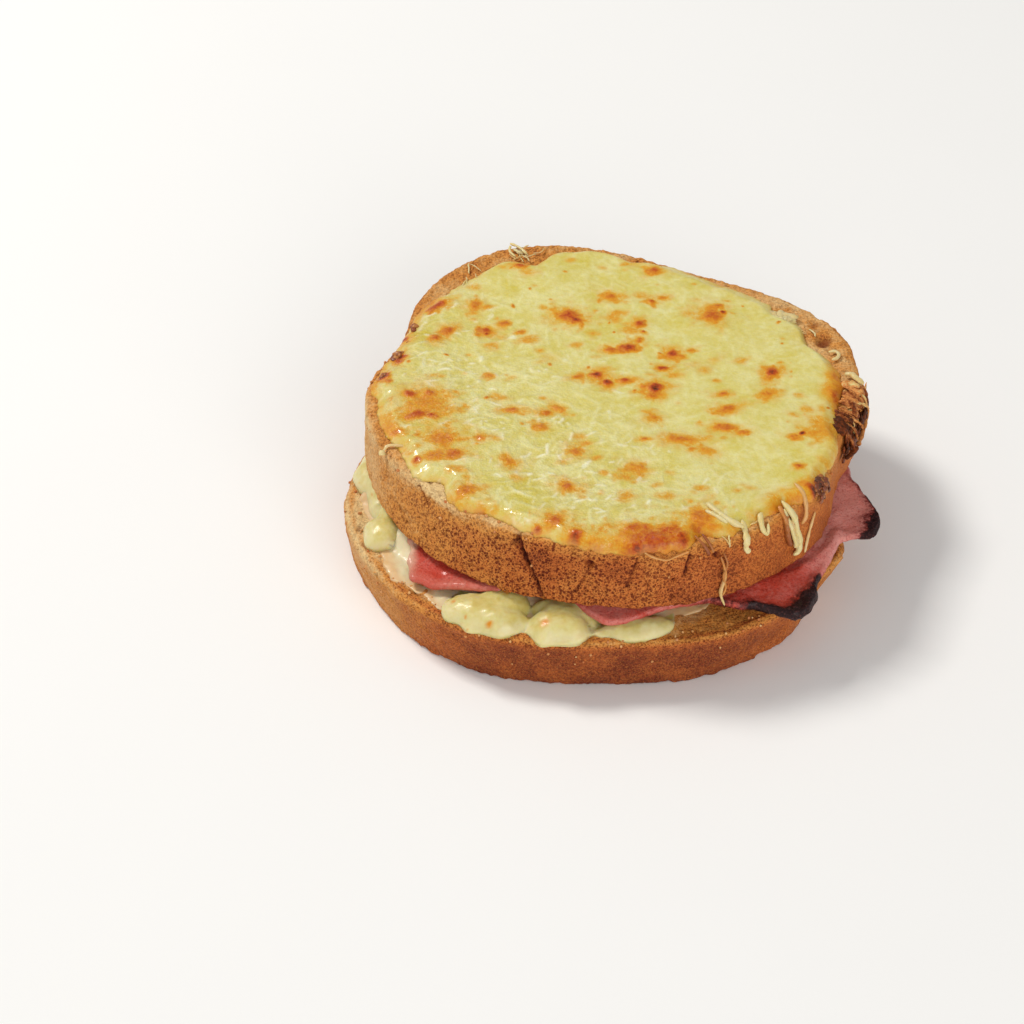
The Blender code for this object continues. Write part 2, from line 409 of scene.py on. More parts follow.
def add_node(tree, kind, inputs=(), **settings):
    """A new node, with its settings and the values or links of its inputs."""
    made = tree.nodes.new("ShaderNode" + kind)
    for setting, value in settings.items():
        setattr(made, setting, value)
    for name, value in dict(inputs).items():
        feed(tree, made.inputs[name], value)
    return made


def calc(tree, operation, a, b, clamp=False):
    """A sum of two values."""
    made = add_node(tree, "Math", operation=operation, use_clamp=clamp)
    for socket, value in zip(made.inputs, (a, b)):
        feed(tree, socket, value)
    return made.outputs[0]


def times(tree, a, b, clamp=False):
    return calc(tree, "MULTIPLY", a, b, clamp)


def plus(tree, a, b, clamp=False):
    return calc(tree, "ADD", a, b, clamp)


def minus(tree, a, b, clamp=False):
    return calc(tree, "SUBTRACT", a, b, clamp)


def swing(tree, uneven, much):
    """An uneven value from 0 to 1 made to swing round 0."""
    return times(tree, minus(tree, uneven, 0.5), much)


def mix(tree, amount, a, b, way="MIX"):
    """Two colours mixed, or one laid over the other."""
    made = add_node(tree, "Mix", data_type="RGBA", blend_type=way, clamp_factor=True)
    feed(tree, made.inputs[0], amount)
    feed(tree, made.inputs[6], a)
    feed(tree, made.inputs[7], b)
    return made.outputs[2]


def span(tree, value, low, high, to_low=0.0, to_high=1.0, smooth=True):
    """A value drawn out from one range to another."""
    inputs = {"Value": value, "From Min": low, "From Max": high, "To Min": to_low, "To Max": to_high}
    kind = "SMOOTHSTEP" if smooth else "LINEAR"
    return add_node(tree, "MapRange", inputs, interpolation_type=kind).outputs[0]


def place_in(tree):
    """Where a point is on the object itself, in metres."""
    return add_node(tree, "TexCoord").outputs["Object"]


def noise(tree, size, detail=3.0, rough=0.5, warp=0.0):
    """Noise whose humps are about size millimetres across."""
    inputs = {"Vector": place_in(tree), "Detail": detail, "Roughness": rough, "Distortion": warp}
    scale = 1.0 / MM / size if isinstance(size, float) else calc(tree, "DIVIDE", 1.0 / MM, size)
    return add_node(tree, "TexNoise", {**inputs, "Scale": scale}).outputs["Fac"]


def mark(tree, name):
    """A mark that the mesh carries at each point."""
    return add_node(tree, "Attribute", attribute_name=name).outputs["Fac"]


def new_group(name, inputs, outputs):
    """An empty shader group with named sockets; each input is (kind, starting value)."""
    group = bpy.data.node_groups.new(name, "ShaderNodeTree")
    for socket, (kind, value) in inputs.items():
        made = group.interface.new_socket(socket, in_out="INPUT", socket_type="NodeSocket" + kind)
        made.default_value = (*value, 1.0) if kind == "Color" else value
    for socket, kind in outputs.items():
        group.interface.new_socket(socket, in_out="OUTPUT", socket_type="NodeSocket" + kind)
    start = group.nodes.new("NodeGroupInput")
    end = group.nodes.new("NodeGroupOutput")
    return group, start.outputs, end.inputs


def use(tree, group, **values):
    """Places a shader group with its own values, and gives its outputs."""
    made = add_node(tree, "Group", node_tree=group)
    for name, value in values.items():
        feed(tree, made.inputs[name.replace("_", " ")], value)
    return made.outputs


# Pores: how fine their outlines stray and by how many millimetres, and the flat share of their depth.
PORE_STRAY_SCALE = 900.0
PORE_STRAY = 0.4
PORE_FLOOR = 0.62


def make_browning():
    """Colour of food as it browns: raw, golden, brown and burnt."""
    shades = {shade: ("Color", (0.5, 0.3, 0.1)) for shade in ("Raw", "Golden", "Brown", "Burnt")}
    group, given, out = new_group("browning", {"Amount": ("Float", 0.0), **shades}, {"Colour": "Color"})
    colour = given["Raw"]
    for shade, low, high in (("Golden", 0.0, 0.36), ("Brown", 0.36, 0.72), ("Burnt", 0.72, 1.0)):
        step = span(group, given["Amount"], low, high, smooth=False)
        colour = mix(group, step, colour, given[shade])
    feed(group, out["Colour"], colour)
    return group


def make_pores():
    """Small open holes of a baked crumb, of many sizes."""
    inputs = {"Spacing": ("Float", 1.2), "Size": ("Float", 0.4), "Amount": ("Float", 1.0)}
    group, given, out = new_group("pores", inputs, {"Mask": "Float", "Height": "Float"})
    where = place_in(group)
    stray = add_node(group, "TexNoise", {"Vector": where, "Scale": PORE_STRAY_SCALE, "Detail": 1.0})
    shift = {0: stray.outputs["Color"], 1: (0.5, 0.5, 0.5)}
    shift = add_node(group, "VectorMath", shift, operation="SUBTRACT").outputs[0]
    shift = add_node(group, "VectorMath", {0: shift, "Scale": PORE_STRAY * MM}, operation="SCALE").outputs[0]
    where = add_node(group, "VectorMath", {0: where, 1: shift}, operation="ADD").outputs[0]
    scale = calc(group, "DIVIDE", 1.0 / MM, given["Spacing"])
    cells = add_node(group, "TexVoronoi", {"Vector": where, "Scale": scale, "Randomness": 1.0})
    chance = add_node(group, "SeparateColor", {0: cells.outputs["Color"]}).outputs[0]
    reach = times(group, given["Size"], span(group, chance, 0.0, 1.0, 0.6, 1.2, smooth=False))
    hole = span(group, cells.outputs["Distance"], times(group, reach, PORE_FLOOR), reach, 1.0, 0.0)
    hole = times(group, hole, given["Amount"], clamp=True)
    feed(group, out["Mask"], hole)
    feed(group, out["Height"], minus(group, 1.0, hole))
    return group


def make_flecks():
    """Small sharp flecks, lighter or darker than what they lie on."""
    inputs = {"Size": ("Float", 0.5), "Amount": ("Float", 0.5)}
    group, given, out = new_group("flecks", inputs, {"Mask": "Float"})
    fleck = span(group, noise(group, given["Size"], 2.0, 0.6), 0.54, 0.68)
    feed(group, out["Mask"], times(group, fleck, given["Amount"], clamp=True))
    return group


def make_patches():
    """Soft patches of more and less colour, with a finer speckle over them."""
    inputs = {"Size": ("Float", 12.0), "Speckle": ("Float", 1.0), "Share": ("Float", 0.4)}
    group, given, out = new_group("patches", inputs, {"Value": "Float"})
    broad = span(group, noise(group, given["Size"], 3.0, 0.55, 0.4), 0.3, 0.7)
    fine = span(group, noise(group, given["Speckle"], 2.0, 0.6), 0.3, 0.7)
    feed(group, out["Value"], mix(group, given["Share"], broad, fine))
    return group


def make_grain():
    """Fine uneven height of a dry or a greasy skin."""
    inputs = {"Size": ("Float", 0.6), "Coarse": ("Float", 2.0)}
    group, given, out = new_group("grain", inputs, {"Height": "Float"})
    fine = noise(group, given["Size"], 3.0, 0.6)
    coarse = noise(group, given["Coarse"], 2.0, 0.5)
    feed(group, out["Height"], plus(group, fine, coarse))
    return group


def finish_named(name):
    """A new material, without nodes."""
    finish = bpy.data.materials.new(name)
    finish.use_nodes = True
    finish.node_tree.nodes.clear()
    return finish, finish.node_tree


def close_finish(tree, **inputs):
    """The surface of a finish, from its Principled inputs."""
    inputs = {name.replace("_", " "): value for name, value in inputs.items()}
    shader = add_node(tree, "BsdfPrincipled", inputs)
    end = add_node(tree, "OutputMaterial")
    tree.links.new(shader.outputs[0], end.inputs["Surface"])


def bump(tree, height, strength, distance, under=None):
    """Fine relief of a surface, distance millimetres deep, over the relief under it."""
    inputs = {"Height": height, "Strength": strength, "Distance": distance * MM}
    if under is not None:
        inputs["Normal"] = under
    return add_node(tree, "Bump", inputs).outputs[0]


browning = make_browning()
pores = make_pores()
flecks = make_flecks()
patches = make_patches()
grain = make_grain()


def bread_finish(name, spacing, size, fleck_size, roughness):
    """Toasted bread: its tone follows the toast mark, with open pores; painted shade darkens the pores, fine
    specks, cracks and pits.
    """
    finish, tree = finish_named(name)
    uneven = use(tree, patches, Size=11.0, Speckle=0.6, Share=0.5)["Value"]
    tone = plus(tree, mark(tree, "toast"), swing(tree, uneven, 0.28))
    shades = {"Raw": CRUMB_PALE, "Golden": CRUST_GOLD, "Brown": CRUST_AMBER, "Burnt": CRUST_BROWN}
    colour = use(tree, browning, Amount=tone, **shades)["Colour"]
    colour = mix(tree, span(tree, tone, 0.98, 1.45), colour, CRUST_DARK)
    light = use(tree, flecks, Size=fleck_size, Amount=0.5)["Mask"]
    colour = mix(tree, light, colour, CRUST_GOLD)
    porous = mark(tree, "porous")
    pore_and_speck_shade_by_tone = span(tree, tone, 0.20, 0.60, 0.34, 1.0)
    holes = use(tree, pores, Spacing=spacing, Size=size, Amount=porous)
    fine = use(tree, pores, Spacing=spacing * 0.56, Size=size * 1.1, Amount=plus(tree, 0.30, porous))
    speckled = plus(tree, 0.35, times(tree, porous, 0.45))
    speckle = use(tree, flecks, Size=spacing * 0.34, Amount=speckled)
    # Painted shade in the pores, with the crust's darker specks, less on pale crumb.
    shade = calc(tree, "MAXIMUM", holes["Mask"], times(tree, fine["Mask"], 0.75))
    shade = calc(tree, "MAXIMUM", shade, speckle["Mask"])
    colour = mix(tree, times(tree, shade, pore_and_speck_shade_by_tone), colour, PORE_PAINTED_SHADE_AND_SPECKS, "MULTIPLY")
    # Painted shade in cracks, pits and large pores.
    colour = mix(tree, mark(tree, "painted_recess_shade"), colour, CRACK_PAINTED_SHADE, "MULTIPLY")
    skin = use(tree, grain, Size=0.3, Coarse=0.8)["Height"]
    normal = bump(tree, skin, 0.7, 0.16)
    normal = bump(tree, fine["Height"], 0.6, 0.12, normal)
    normal = bump(tree, holes["Height"], 0.8, 0.26, normal)
    rough = span(tree, uneven, 0.0, 1.0, roughness, roughness + 0.18, smooth=False)
    close_finish(tree, Base_Color=colour, Roughness=rough, Normal=normal, Specular_IOR_Level=0.2)
    return finish


def grilled_cheese_finish():
    """Melted cheese, cream to yellow, with amber to burnt spots, a greasy shine and near-white painted
    glints.
    """
    finish, tree = finish_named("grilled_cheese")
    uneven = use(tree, patches, Size=7.0, Speckle=1.5, Share=0.42)["Value"]
    oily = plus(tree, times(tree, uneven, 0.78), times(tree, mark(tree, "deep"), 0.6))
    oily = minus(tree, oily, times(tree, mark(tree, "strand"), 0.75), clamp=True)
    raw = mix(tree, oily, CHEESE_CREAM, CHEESE_YELLOW)
    # Painted glints: near-white streaks mixed into the cheese's colour.
    raw = mix(tree, times(tree, mark(tree, "painted_glint"), 0.95, clamp=True), raw, CHEESE_PAINTED_GLINT)
    ragged = span(tree, noise(tree, 1.0, 4.0, 0.68, 0.7), 0.25, 0.75, -0.20, 0.20, smooth=False)
    brown = mark(tree, "brown")
    ragged = times(tree, ragged, span(tree, brown, 0.03, 0.25))
    tone = plus(tree, brown, ragged, clamp=True)
    raw = mix(tree, span(tree, tone, 0.02, 0.24), raw, CHEESE_HALO)
    shades = {"Golden": CHEESE_AMBER, "Brown": CHEESE_RUST, "Burnt": CHEESE_CHAR}
    colour = use(tree, browning, Amount=tone, Raw=raw, **shades)["Colour"]
    colour = mix(tree, mark(tree, "thin"), colour, CHEESE_EDGE)
    wet = mark(tree, "wet")
    glints = span(tree, noise(tree, 1.1, 3.0, 0.6), 0.44, 0.56)
    skin = use(tree, grain, Size=0.55, Coarse=1.5)["Height"]
    normal = bump(tree, skin, plus(tree, 0.20, times(tree, wet, 0.60)), 0.32)
    dull = span(tree, tone, 0.35, 0.75, 0.8, 0.25)
    dry = span(tree, noise(tree, 2.4, 3.0, 0.6), 0.35, 0.7)
    roughness = span(tree, dry, 0.0, 1.0, 0.44, 0.64, smooth=False)
    close_finish(
        tree,
        Base_Color=colour,
        Roughness=minus(tree, roughness, times(tree, wet, 0.20)),
        Normal=normal,
        Specular_IOR_Level=0.28,
        Subsurface_Weight=0.2,
        Subsurface_Radius=(1.0, 0.75, 0.30),
        Subsurface_Scale=2.0 * MM,
        Coat_Weight=times(tree, wet, times(tree, glints, dull)),
        Coat_Roughness=0.12,
    )
    return finish


def soft_finish(name, raw, deep, golden, brown, roughness, coat=0.0, subsurface=0.0, milky=False):
    """Plain soft or dry food: filling, sauce, loose shreds and crumbs. Milky food carries a film of sauce."""
    finish, tree = finish_named(name)
    uneven = use(tree, patches, Size=4.0, Speckle=1.2, Share=0.35)["Value"]
    raw = mix(tree, uneven, raw, deep)
    if milky:
        raw = mix(tree, mark(tree, "milky"), raw, SAUCE_CREAM)
    tone = mark(tree, "brown")
    colour = use(tree, browning, Amount=tone, Raw=raw, Golden=golden, Brown=brown, Burnt=CHEESE_CHAR)
    skin = use(tree, grain, Size=0.7, Coarse=2.6)["Height"]
    normal = bump(tree, skin, 0.35, 0.15)
    close_finish(
        tree,
        Base_Color=colour["Colour"],
        Roughness=span(tree, uneven, 0.0, 1.0, roughness, roughness + 0.15, smooth=False),
        Normal=normal,
        Subsurface_Weight=subsurface,
        Subsurface_Radius=(1.0, 0.70, 0.3),
        Subsurface_Scale=2.0 * MM,
        Coat_Weight=coat,
        Coat_Roughness=0.12,
    )
    return finish


def ham_finish():
    """Cured ham: red to rosy meat, pale fat, charred edges and a wet shine, with painted light that lightens
    the ham where it lies in shade.
    """
    finish, tree = finish_named("ham")
    uneven = use(tree, patches, Size=6.0, Speckle=0.9, Share=0.45)["Value"]
    # Pink meat, and painted light that lightens the ham where it lies in shade.
    pink = plus(tree, mark(tree, "pink"), swing(tree, uneven, 0.6), clamp=True)
    meat = mix(tree, pink, HAM_RED, HAM_PINK_AND_PAINTED_LIGHT)
    fibre = span(tree, mark(tree, "fibre"), 0.25, 0.9)
    meat = mix(tree, times(tree, fibre, 0.20), meat, HAM_FAT)
    speck = use(tree, flecks, Size=0.6, Amount=0.7)["Mask"]
    meat = mix(tree, speck, meat, HAM_SPECK, "MULTIPLY")
    meat = mix(tree, mark(tree, "fat"), meat, HAM_FAT)
    ragged = span(tree, noise(tree, 1.3, 4.0, 0.7), 0.3, 0.7, -0.35, 0.35, smooth=False)
    char = mark(tree, "char")
    char = plus(tree, char, times(tree, ragged, span(tree, char, 0.05, 0.4)), clamp=True)
    seared = mix(tree, span(tree, char, 0.05, 0.5), meat, HAM_SEARED)
    crisp = mix(tree, span(tree, noise(tree, 0.7, 3.0, 0.7), 0.50, 0.66), HAM_CHAR, HAM_ASH)
    colour = mix(tree, span(tree, char, 0.42, 0.72), seared, crisp)
    skin = use(tree, grain, Size=0.5, Coarse=1.6)["Height"]
    normal = bump(tree, skin, 0.8, 0.34)
    normal = bump(tree, noise(tree, 0.7, 4.0, 0.7), char, 1.1, normal)
    matt = mark(tree, "matt")
    close_finish(
        tree,
        Base_Color=colour,
        Roughness=plus(tree, 0.36, times(tree, matt, 0.34)),
        Normal=normal,
        Specular_IOR_Level=0.2,
        Subsurface_Weight=0.1,
        Subsurface_Radius=(1.0, 0.3, 0.2),
        Subsurface_Scale=1.6 * MM,
        Coat_Weight=minus(tree, 0.35, times(tree, matt, 0.35), clamp=True),
        Coat_Roughness=0.16,
    )
    return finish


def frill_finish():
    """Cheese fried hard and brown, tan at its tips."""
    finish, tree = finish_named("burnt_cheese")
    uneven = use(tree, patches, Size=1.8, Speckle=0.6, Share=0.5)["Value"]
    tone = plus(tree, mark(tree, "brown"), swing(tree, uneven, 0.45))
    shades = {"Raw": CHEESE_CREAM, "Golden": FRIED_GOLD, "Brown": FRIED_BROWN, "Burnt": CHEESE_CHAR}
    colour = use(tree, browning, Amount=tone, **shades)["Colour"]
    normal = bump(tree, use(tree, grain, Size=0.35, Coarse=1.0)["Height"], 0.8, 0.2)
    close_finish(tree, Base_Color=colour, Roughness=0.5, Normal=normal, Specular_IOR_Level=0.15)
    return finish


def floor_finish():
    """Plain pale floor."""
    finish, tree = finish_named("pale_floor")
    tint = mix(tree, noise(tree, 60.0, 2.0), FLOOR_PALE, tuple(0.985 * c for c in FLOOR_PALE))
    close_finish(tree, Base_Color=tint, Roughness=0.8)
    return finish


# ------------------------------------------------------------------ bread

# Points round a slice, rows up its side and over its margin, and the wider rings under it and on top.
AROUND = 1080
SIDE_ROWS = 44
MARGIN_ROWS = 30
MARGIN_STEP = 0.36
BASE_INSETS = (46.0, 28.0, 14.0, 6.0, 2.4)
TOP_INSETS = (15.0, 22.0, 40.0)
# Large pores of a slice: how many, how large, how deep and how much shade is painted in them.
PORES = 620
PORE_SIZES = (0.42, 0.72)
PORE_DEPTH = 0.45
LARGE_PORE_PAINTED_SHADE = 0.40


def skin_rows(loaf):
    """(inset, height, tilt) of each ring of a slice, from under it, up its side and in over its top."""
    corner = loaf.rounding
    rows = [(inset, loaf.low, -90.0) for inset in BASE_INSETS]
    for tilt in (-90.0, -60.0, -30.0):
        lean = math.radians(tilt)
        rows.append((loaf.foot * (1.0 - math.cos(lean)), loaf.low + loaf.foot * (1.0 + math.sin(lean)), tilt))
    for height in np.linspace(loaf.low + loaf.foot, loaf.high - corner, SIDE_ROWS):
        rows.append((0.0, height, 0.0))
    for tilt in np.linspace(0.0, 90.0, 8)[1:]:
        lean = math.radians(tilt)
        rows.append((corner * (1.0 - math.cos(lean)), loaf.high - corner * (1.0 - math.sin(lean)), tilt))
    rows += [(corner + MARGIN_STEP * step, loaf.high, 90.0) for step in range(1, MARGIN_ROWS)]
    rows += [(inset, loaf.high, 90.0) for inset in TOP_INSETS]
    return np.array(rows)


def groove(points, path, half_width):
    """How near each point is to a broken line: 1 on it, 0 beyond its half width."""
    nearest = np.full(points.shape[:-1], 1e9)
    for a, b in zip(path[:-1], path[1:]):
        along = b - a
        share = np.clip(((points - a) @ along) / (along @ along), 0.0, 1.0)
        nearest = np.minimum(nearest, np.linalg.norm(points - a - share[..., None] * along, axis=-1))
    return np.clip(1.0 - nearest / half_width, 0.0, 1.0)


def large_pores(points, rng, where):
    """Depth of scattered larger holes at each point, 0 to 1."""
    flat = points.reshape(-1, 3)
    allowed = np.flatnonzero(where.ravel())
    chosen = rng.choice(allowed, PORES, replace=False)
    sizes = rng.uniform(*PORE_SIZES, PORES)
    tree = KDTree(PORES)
    for number, index in enumerate(chosen):
        tree.insert(flat[index], number)
    tree.balance()
    depth = np.zeros(len(flat))
    for index in allowed:
        found = tree.find(flat[index])
        depth[index] = max(0.0, 1.0 - (found[2] / sizes[found[1]]) ** 2)
    return depth.reshape(points.shape[:-1])


def crust_relief(at, tilt, on_top, above_base, seed):
    """Height of the uneven crust over the slice's smooth skin."""
    on_side = np.cos(np.radians(tilt)) ** 2
    relief = 0.30 * waves(*at, 24.0, seed) + 0.22 * waves(*at, 8.0, seed + 1)
    relief = relief * (0.25 + 0.75 * on_side)
    relief = relief + 0.15 * layered_waves(*at, 3.2, seed + 2) + 0.10 * layered_waves(*at, 1.2, seed + 5, 2)
    relief = relief - 0.40 * np.clip(layered_waves(*at, 2.0, seed + 7, 2), 0.0, 1.0) * on_top
    frayed_foot = np.exp(-(((tilt + 40.0) / 30.0) ** 2)) * (tilt < 0.0) * above_base
    relief = relief + 0.40 * layered_waves(*at, 1.9, seed + 15, 2) * frayed_foot
    ragged_rim = np.exp(-(((tilt - 50.0) / 30.0) ** 2)) * (tilt > 0.0)
    return relief + 0.34 * layered_waves(*at, 1.5, seed + 9, 2) * ragged_rim


def cut_crust(loaf, base, at, cracks, hollows, relief, painted_recess_shade, seed):
    """Cuts cracks and pits into the relief, and marks the shade painted in them."""
    sway = 0.35 * layered_waves(*at, 1.6, seed + 11, 2)
    for path, half_width, depth in cracks:
        line = curve_through([loaf.over(b, past, 0.0) for b, past in path], 5 * len(path))
        near = groove(base + sway[..., None] * 0.6, line, half_width)
        relief = relief - depth * near**0.8
        painted_recess_shade = np.maximum(painted_recess_shade, ease(near, 0.15, 0.7) * min(1.0, 1.4 * depth))
    ripple = 1.0 + 0.35 * layered_waves(*at, 1.8, seed + 13, 2)
    for b, past, size, depth in hollows:
        spot = loaf.over(b, past, 0.0)
        near = np.clip(1.0 - np.linalg.norm(base - spot, axis=-1) * ripple / size, 0.0, 1.0)
        relief = relief - depth * ease(near, 0.0, 0.7)
        painted_recess_shade = np.maximum(painted_recess_shade, ease(near, 0.2, 0.75) * min(1.0, depth))
    return relief, painted_recess_shade


def make_slice(name, node, loaf, finish, toast, porous, cracks, hollows, seed):
    """A slice of toasted bread in place of its solid."""
    rng = np.random.default_rng(seed)
    rows = skin_rows(loaf)
    inset, height, tilt = (rows[:, column, None] for column in range(3))
    bearing = np.broadcast_to(bearings(AROUND)[None, :], (len(rows), AROUND))
    clear = np.clip(height, loaf.low + loaf.foot, loaf.high - loaf.rounding)
    radius = loaf.side(bearing, clear) - inset
    base = loaf.place(bearing, radius, height)
    at = (base[..., 0], base[..., 1], base[..., 2])
    lean = np.radians(tilt)
    angle = np.radians(bearing)
    out = np.cos(lean)
    facing = np.stack((out * np.cos(angle), out * np.sin(angle), np.sin(lean) + 0 * angle), -1)
    on_top = np.where(tilt > 45.0, 1.0, 0.0) * ease(inset, 0.5, 2.0)
    above_base = height > loaf.low + 0.01

    relief = crust_relief(at, tilt, on_top, above_base, seed)
    open_skin = np.broadcast_to((tilt > -30.0) & (inset < 12.0), bearing.shape)
    holes = large_pores(base, rng, open_skin) * np.clip(porous(bearing, tilt), 0.2, 1.0)
    relief = relief - PORE_DEPTH * holes
    # Painted shade in the large pores starts the mark of shade in recesses; cracks and pits then add theirs.
    relief, painted_recess_shade = cut_crust(loaf, base, at, cracks, hollows, relief, LARGE_PORE_PAINTED_SHADE * holes, seed)
    relief = np.where(above_base, relief, 0.0)
    rings = base + facing * relief[..., None]
    rings[..., 2] = np.maximum(rings[..., 2], loaf.low)

    share = (height - loaf.low) / (loaf.high - loaf.low)
    tone = toast(bearing, share, inset, on_top, tilt)
    tone = tone + 0.09 * layered_waves(*at, 9.0, seed + 20)
    tone = tone + 0.10 * on_top * layered_waves(*at, 2.2, seed + 21, 2)
    marks = {"toast": tone, "painted_recess_shade": painted_recess_shade, "porous": porous(bearing, tilt)}
    make_ringed_piece(name, rings, marks, finish, [node])


# Cracks: points of (bearing, past the rim), half width and depth.
TOP_CRACKS = (
    (((247.6, -0.8), (248.5, 1.8), (249.8, 5.0), (251.0, 7.0)), 1.0, 1.9),
    (((251.2, 6.8), (251.8, 8.6), (253.0, 11.0), (254.3, 13.6), (255.2, 16.0)), 0.72, 1.6),
    (((264.9, 4.2), (264.0, 7.0), (262.9, 9.4), (261.8, 11.6)), 0.42, 0.5),
    (((275.4, 1.2), (274.8, 4.0), (273.8, 7.0), (273.2, 9.5)), 0.45, 0.6),
    (((287.0, 1.5), (286.4, 4.0), (285.8, 6.4)), 0.60, 0.9),
    (((217.2, 0.2), (219.4, 1.8), (221.4, 3.4)), 0.50, 0.8),
)
# Pits: bearing, past the rim, size and depth.
TOP_HOLLOWS = (
    (265.1, 4.0, 1.5, 1.2),
    (283.4, 7.8, 1.0, 0.9),
    (282.9, 12.6, 1.0, 0.8),
    (266.2, 14.8, 1.0, 0.8),
    (247.2, 1.5, 1.5, 0.8),
    (293.0, 2.9, 1.3, 1.0),
    (297.5, 9.8, 0.8, 0.6),
    (20.5, -6.2, 3.4, 0.9),
    (28.0, -4.0, 2.6, 0.5),
    (225.0, 8.0, 0.9, 0.6),
)
BOTTOM_CRACKS = (
    (((310.0, -6.0), (316.0, -5.2), (322.0, -4.6)), 0.8, 0.7),
    (((217.0, -3.2), (222.0, -3.0), (227.0, -3.4)), 0.6, 0.2),
)
BOTTOM_HOLLOWS = ((197.0, -2.5, 1.6, 0.5), (203.0, -1.6, 1.1, 0.5), (224.0, -4.0, 1.8, 0.6))


# How much more (or less) a part of a slice is toasted: bearing, half width, more.
TOP_SIDE_TOAST = (
    (264, 28, 0.06),
    (198, 26, -0.26),
    (180, 22, -0.24),
    (228, 14, -0.14),
    (302, 20, 0.12),
    (324, 16, 0.02),
)
TOP_FACE_TOAST = ((221, 8, -0.45), (28, 24, -0.05), (150, 30, 0.10), (246, 12, -0.16), (112, 16, 0.05))
BOTTOM_SIDE_TOAST = ((188, 20, -0.38), (214, 20, -0.38), (338, 24, -0.38), (262, 34, 0.04))
BOTTOM_FACE_TOAST = ((195, 22, -0.30), (236, 12, 0.22), (318, 18, 0.14))
# How much less porous the top slice's side is: bearing, half width, less.
TOP_SMOOTH = ((318, 30, -0.48), (350, 30, -0.5), (20, 60, -0.3), (185, 22, -0.35))


def top_toast(bearing, share, inset, on_top, tilt):
    """Toasting of the top slice: paler under its rim, with a bare patch at the left."""
    side = 0.64 + humps(bearing, TOP_SIDE_TOAST)
    side = side - 0.24 * ease(share, 0.70, 0.97) + 0.04 * ease(0.25 - share, 0.0, 0.25)
    side = side - humps(bearing, ((223, 9, 0.5),)) * ease(share, 0.82, 1.0)
    face = 0.30 + humps(bearing, TOP_FACE_TOAST)
    rim = ease(tilt, 10.0, 80.0)
    return side * (1.0 - rim) + face * rim + 0.08 * np.exp(-(((tilt - 35.0) / 25.0) ** 2))


def top_porous(bearing, tilt):
    """How open the top slice's crust is."""
    side = 1.0 + humps(bearing, TOP_SMOOTH)
    return np.where(tilt > 60.0, 0.7, side) + 0.0 * bearing


def bottom_toast(bearing, share, inset, on_top, tilt):
    """Toasting of the bottom slice: dark round its side, and along the rim of its upper face."""
    side = 0.88 + humps(bearing, BOTTOM_SIDE_TOAST)
    side = side + 0.10 * ease(0.3 - share, 0.0, 0.3) - 0.20 * ease(share, 0.78, 1.0)
    face = 0.30 + humps(bearing, BOTTOM_FACE_TOAST)
    face = face + 0.34 * on_top * (1.0 - ease(inset, 1.0, 3.6))
    rim = ease(tilt, 5.0, 70.0)
    return side * (1.0 - rim) + face * rim


def bottom_porous(bearing, tilt):
    """How open the bottom slice's crust is."""
    return np.where(tilt > 10.0, 0.8, 0.5) + 0.0 * bearing


# ------------------------------------------------------------------ cheese on top

# Width of the flat map's cells and half its own width, cells along each side of the mesh, usual thickness,
# how far the underside is sunk into the bread, and how far in from the edge its rings are.
CANVAS_STEP = 0.2
CANVAS_HALF = 70.0
CANVAS_CELLS = int(2 * CANVAS_HALF / CANVAS_STEP)
CHEESE_CELLS = 306
CHEESE_THICK = 2.3
CHEESE_SINK = 0.25
CHEESE_UNDER = (0.5, 8.0, 30.0)
CHEESE_SEED = 71

# Melted shreds, and streaks of painted glint that are also raised a little: how many, how far from the
# middle, lengths and widths.
MELTED_SHREDS = (1150, 62.0, (3.0, 11.0), (0.42, 0.75))
PAINTED_GLINT_STROKES = (620, 60.0, (1.4, 4.5), (0.28, 0.42))
# Scattered small spots and burnt specks: how many, and how far from the middle.
PALE_SPECKS = (120, 60.0)
BURNT_SPECKS = (24, 58.0)

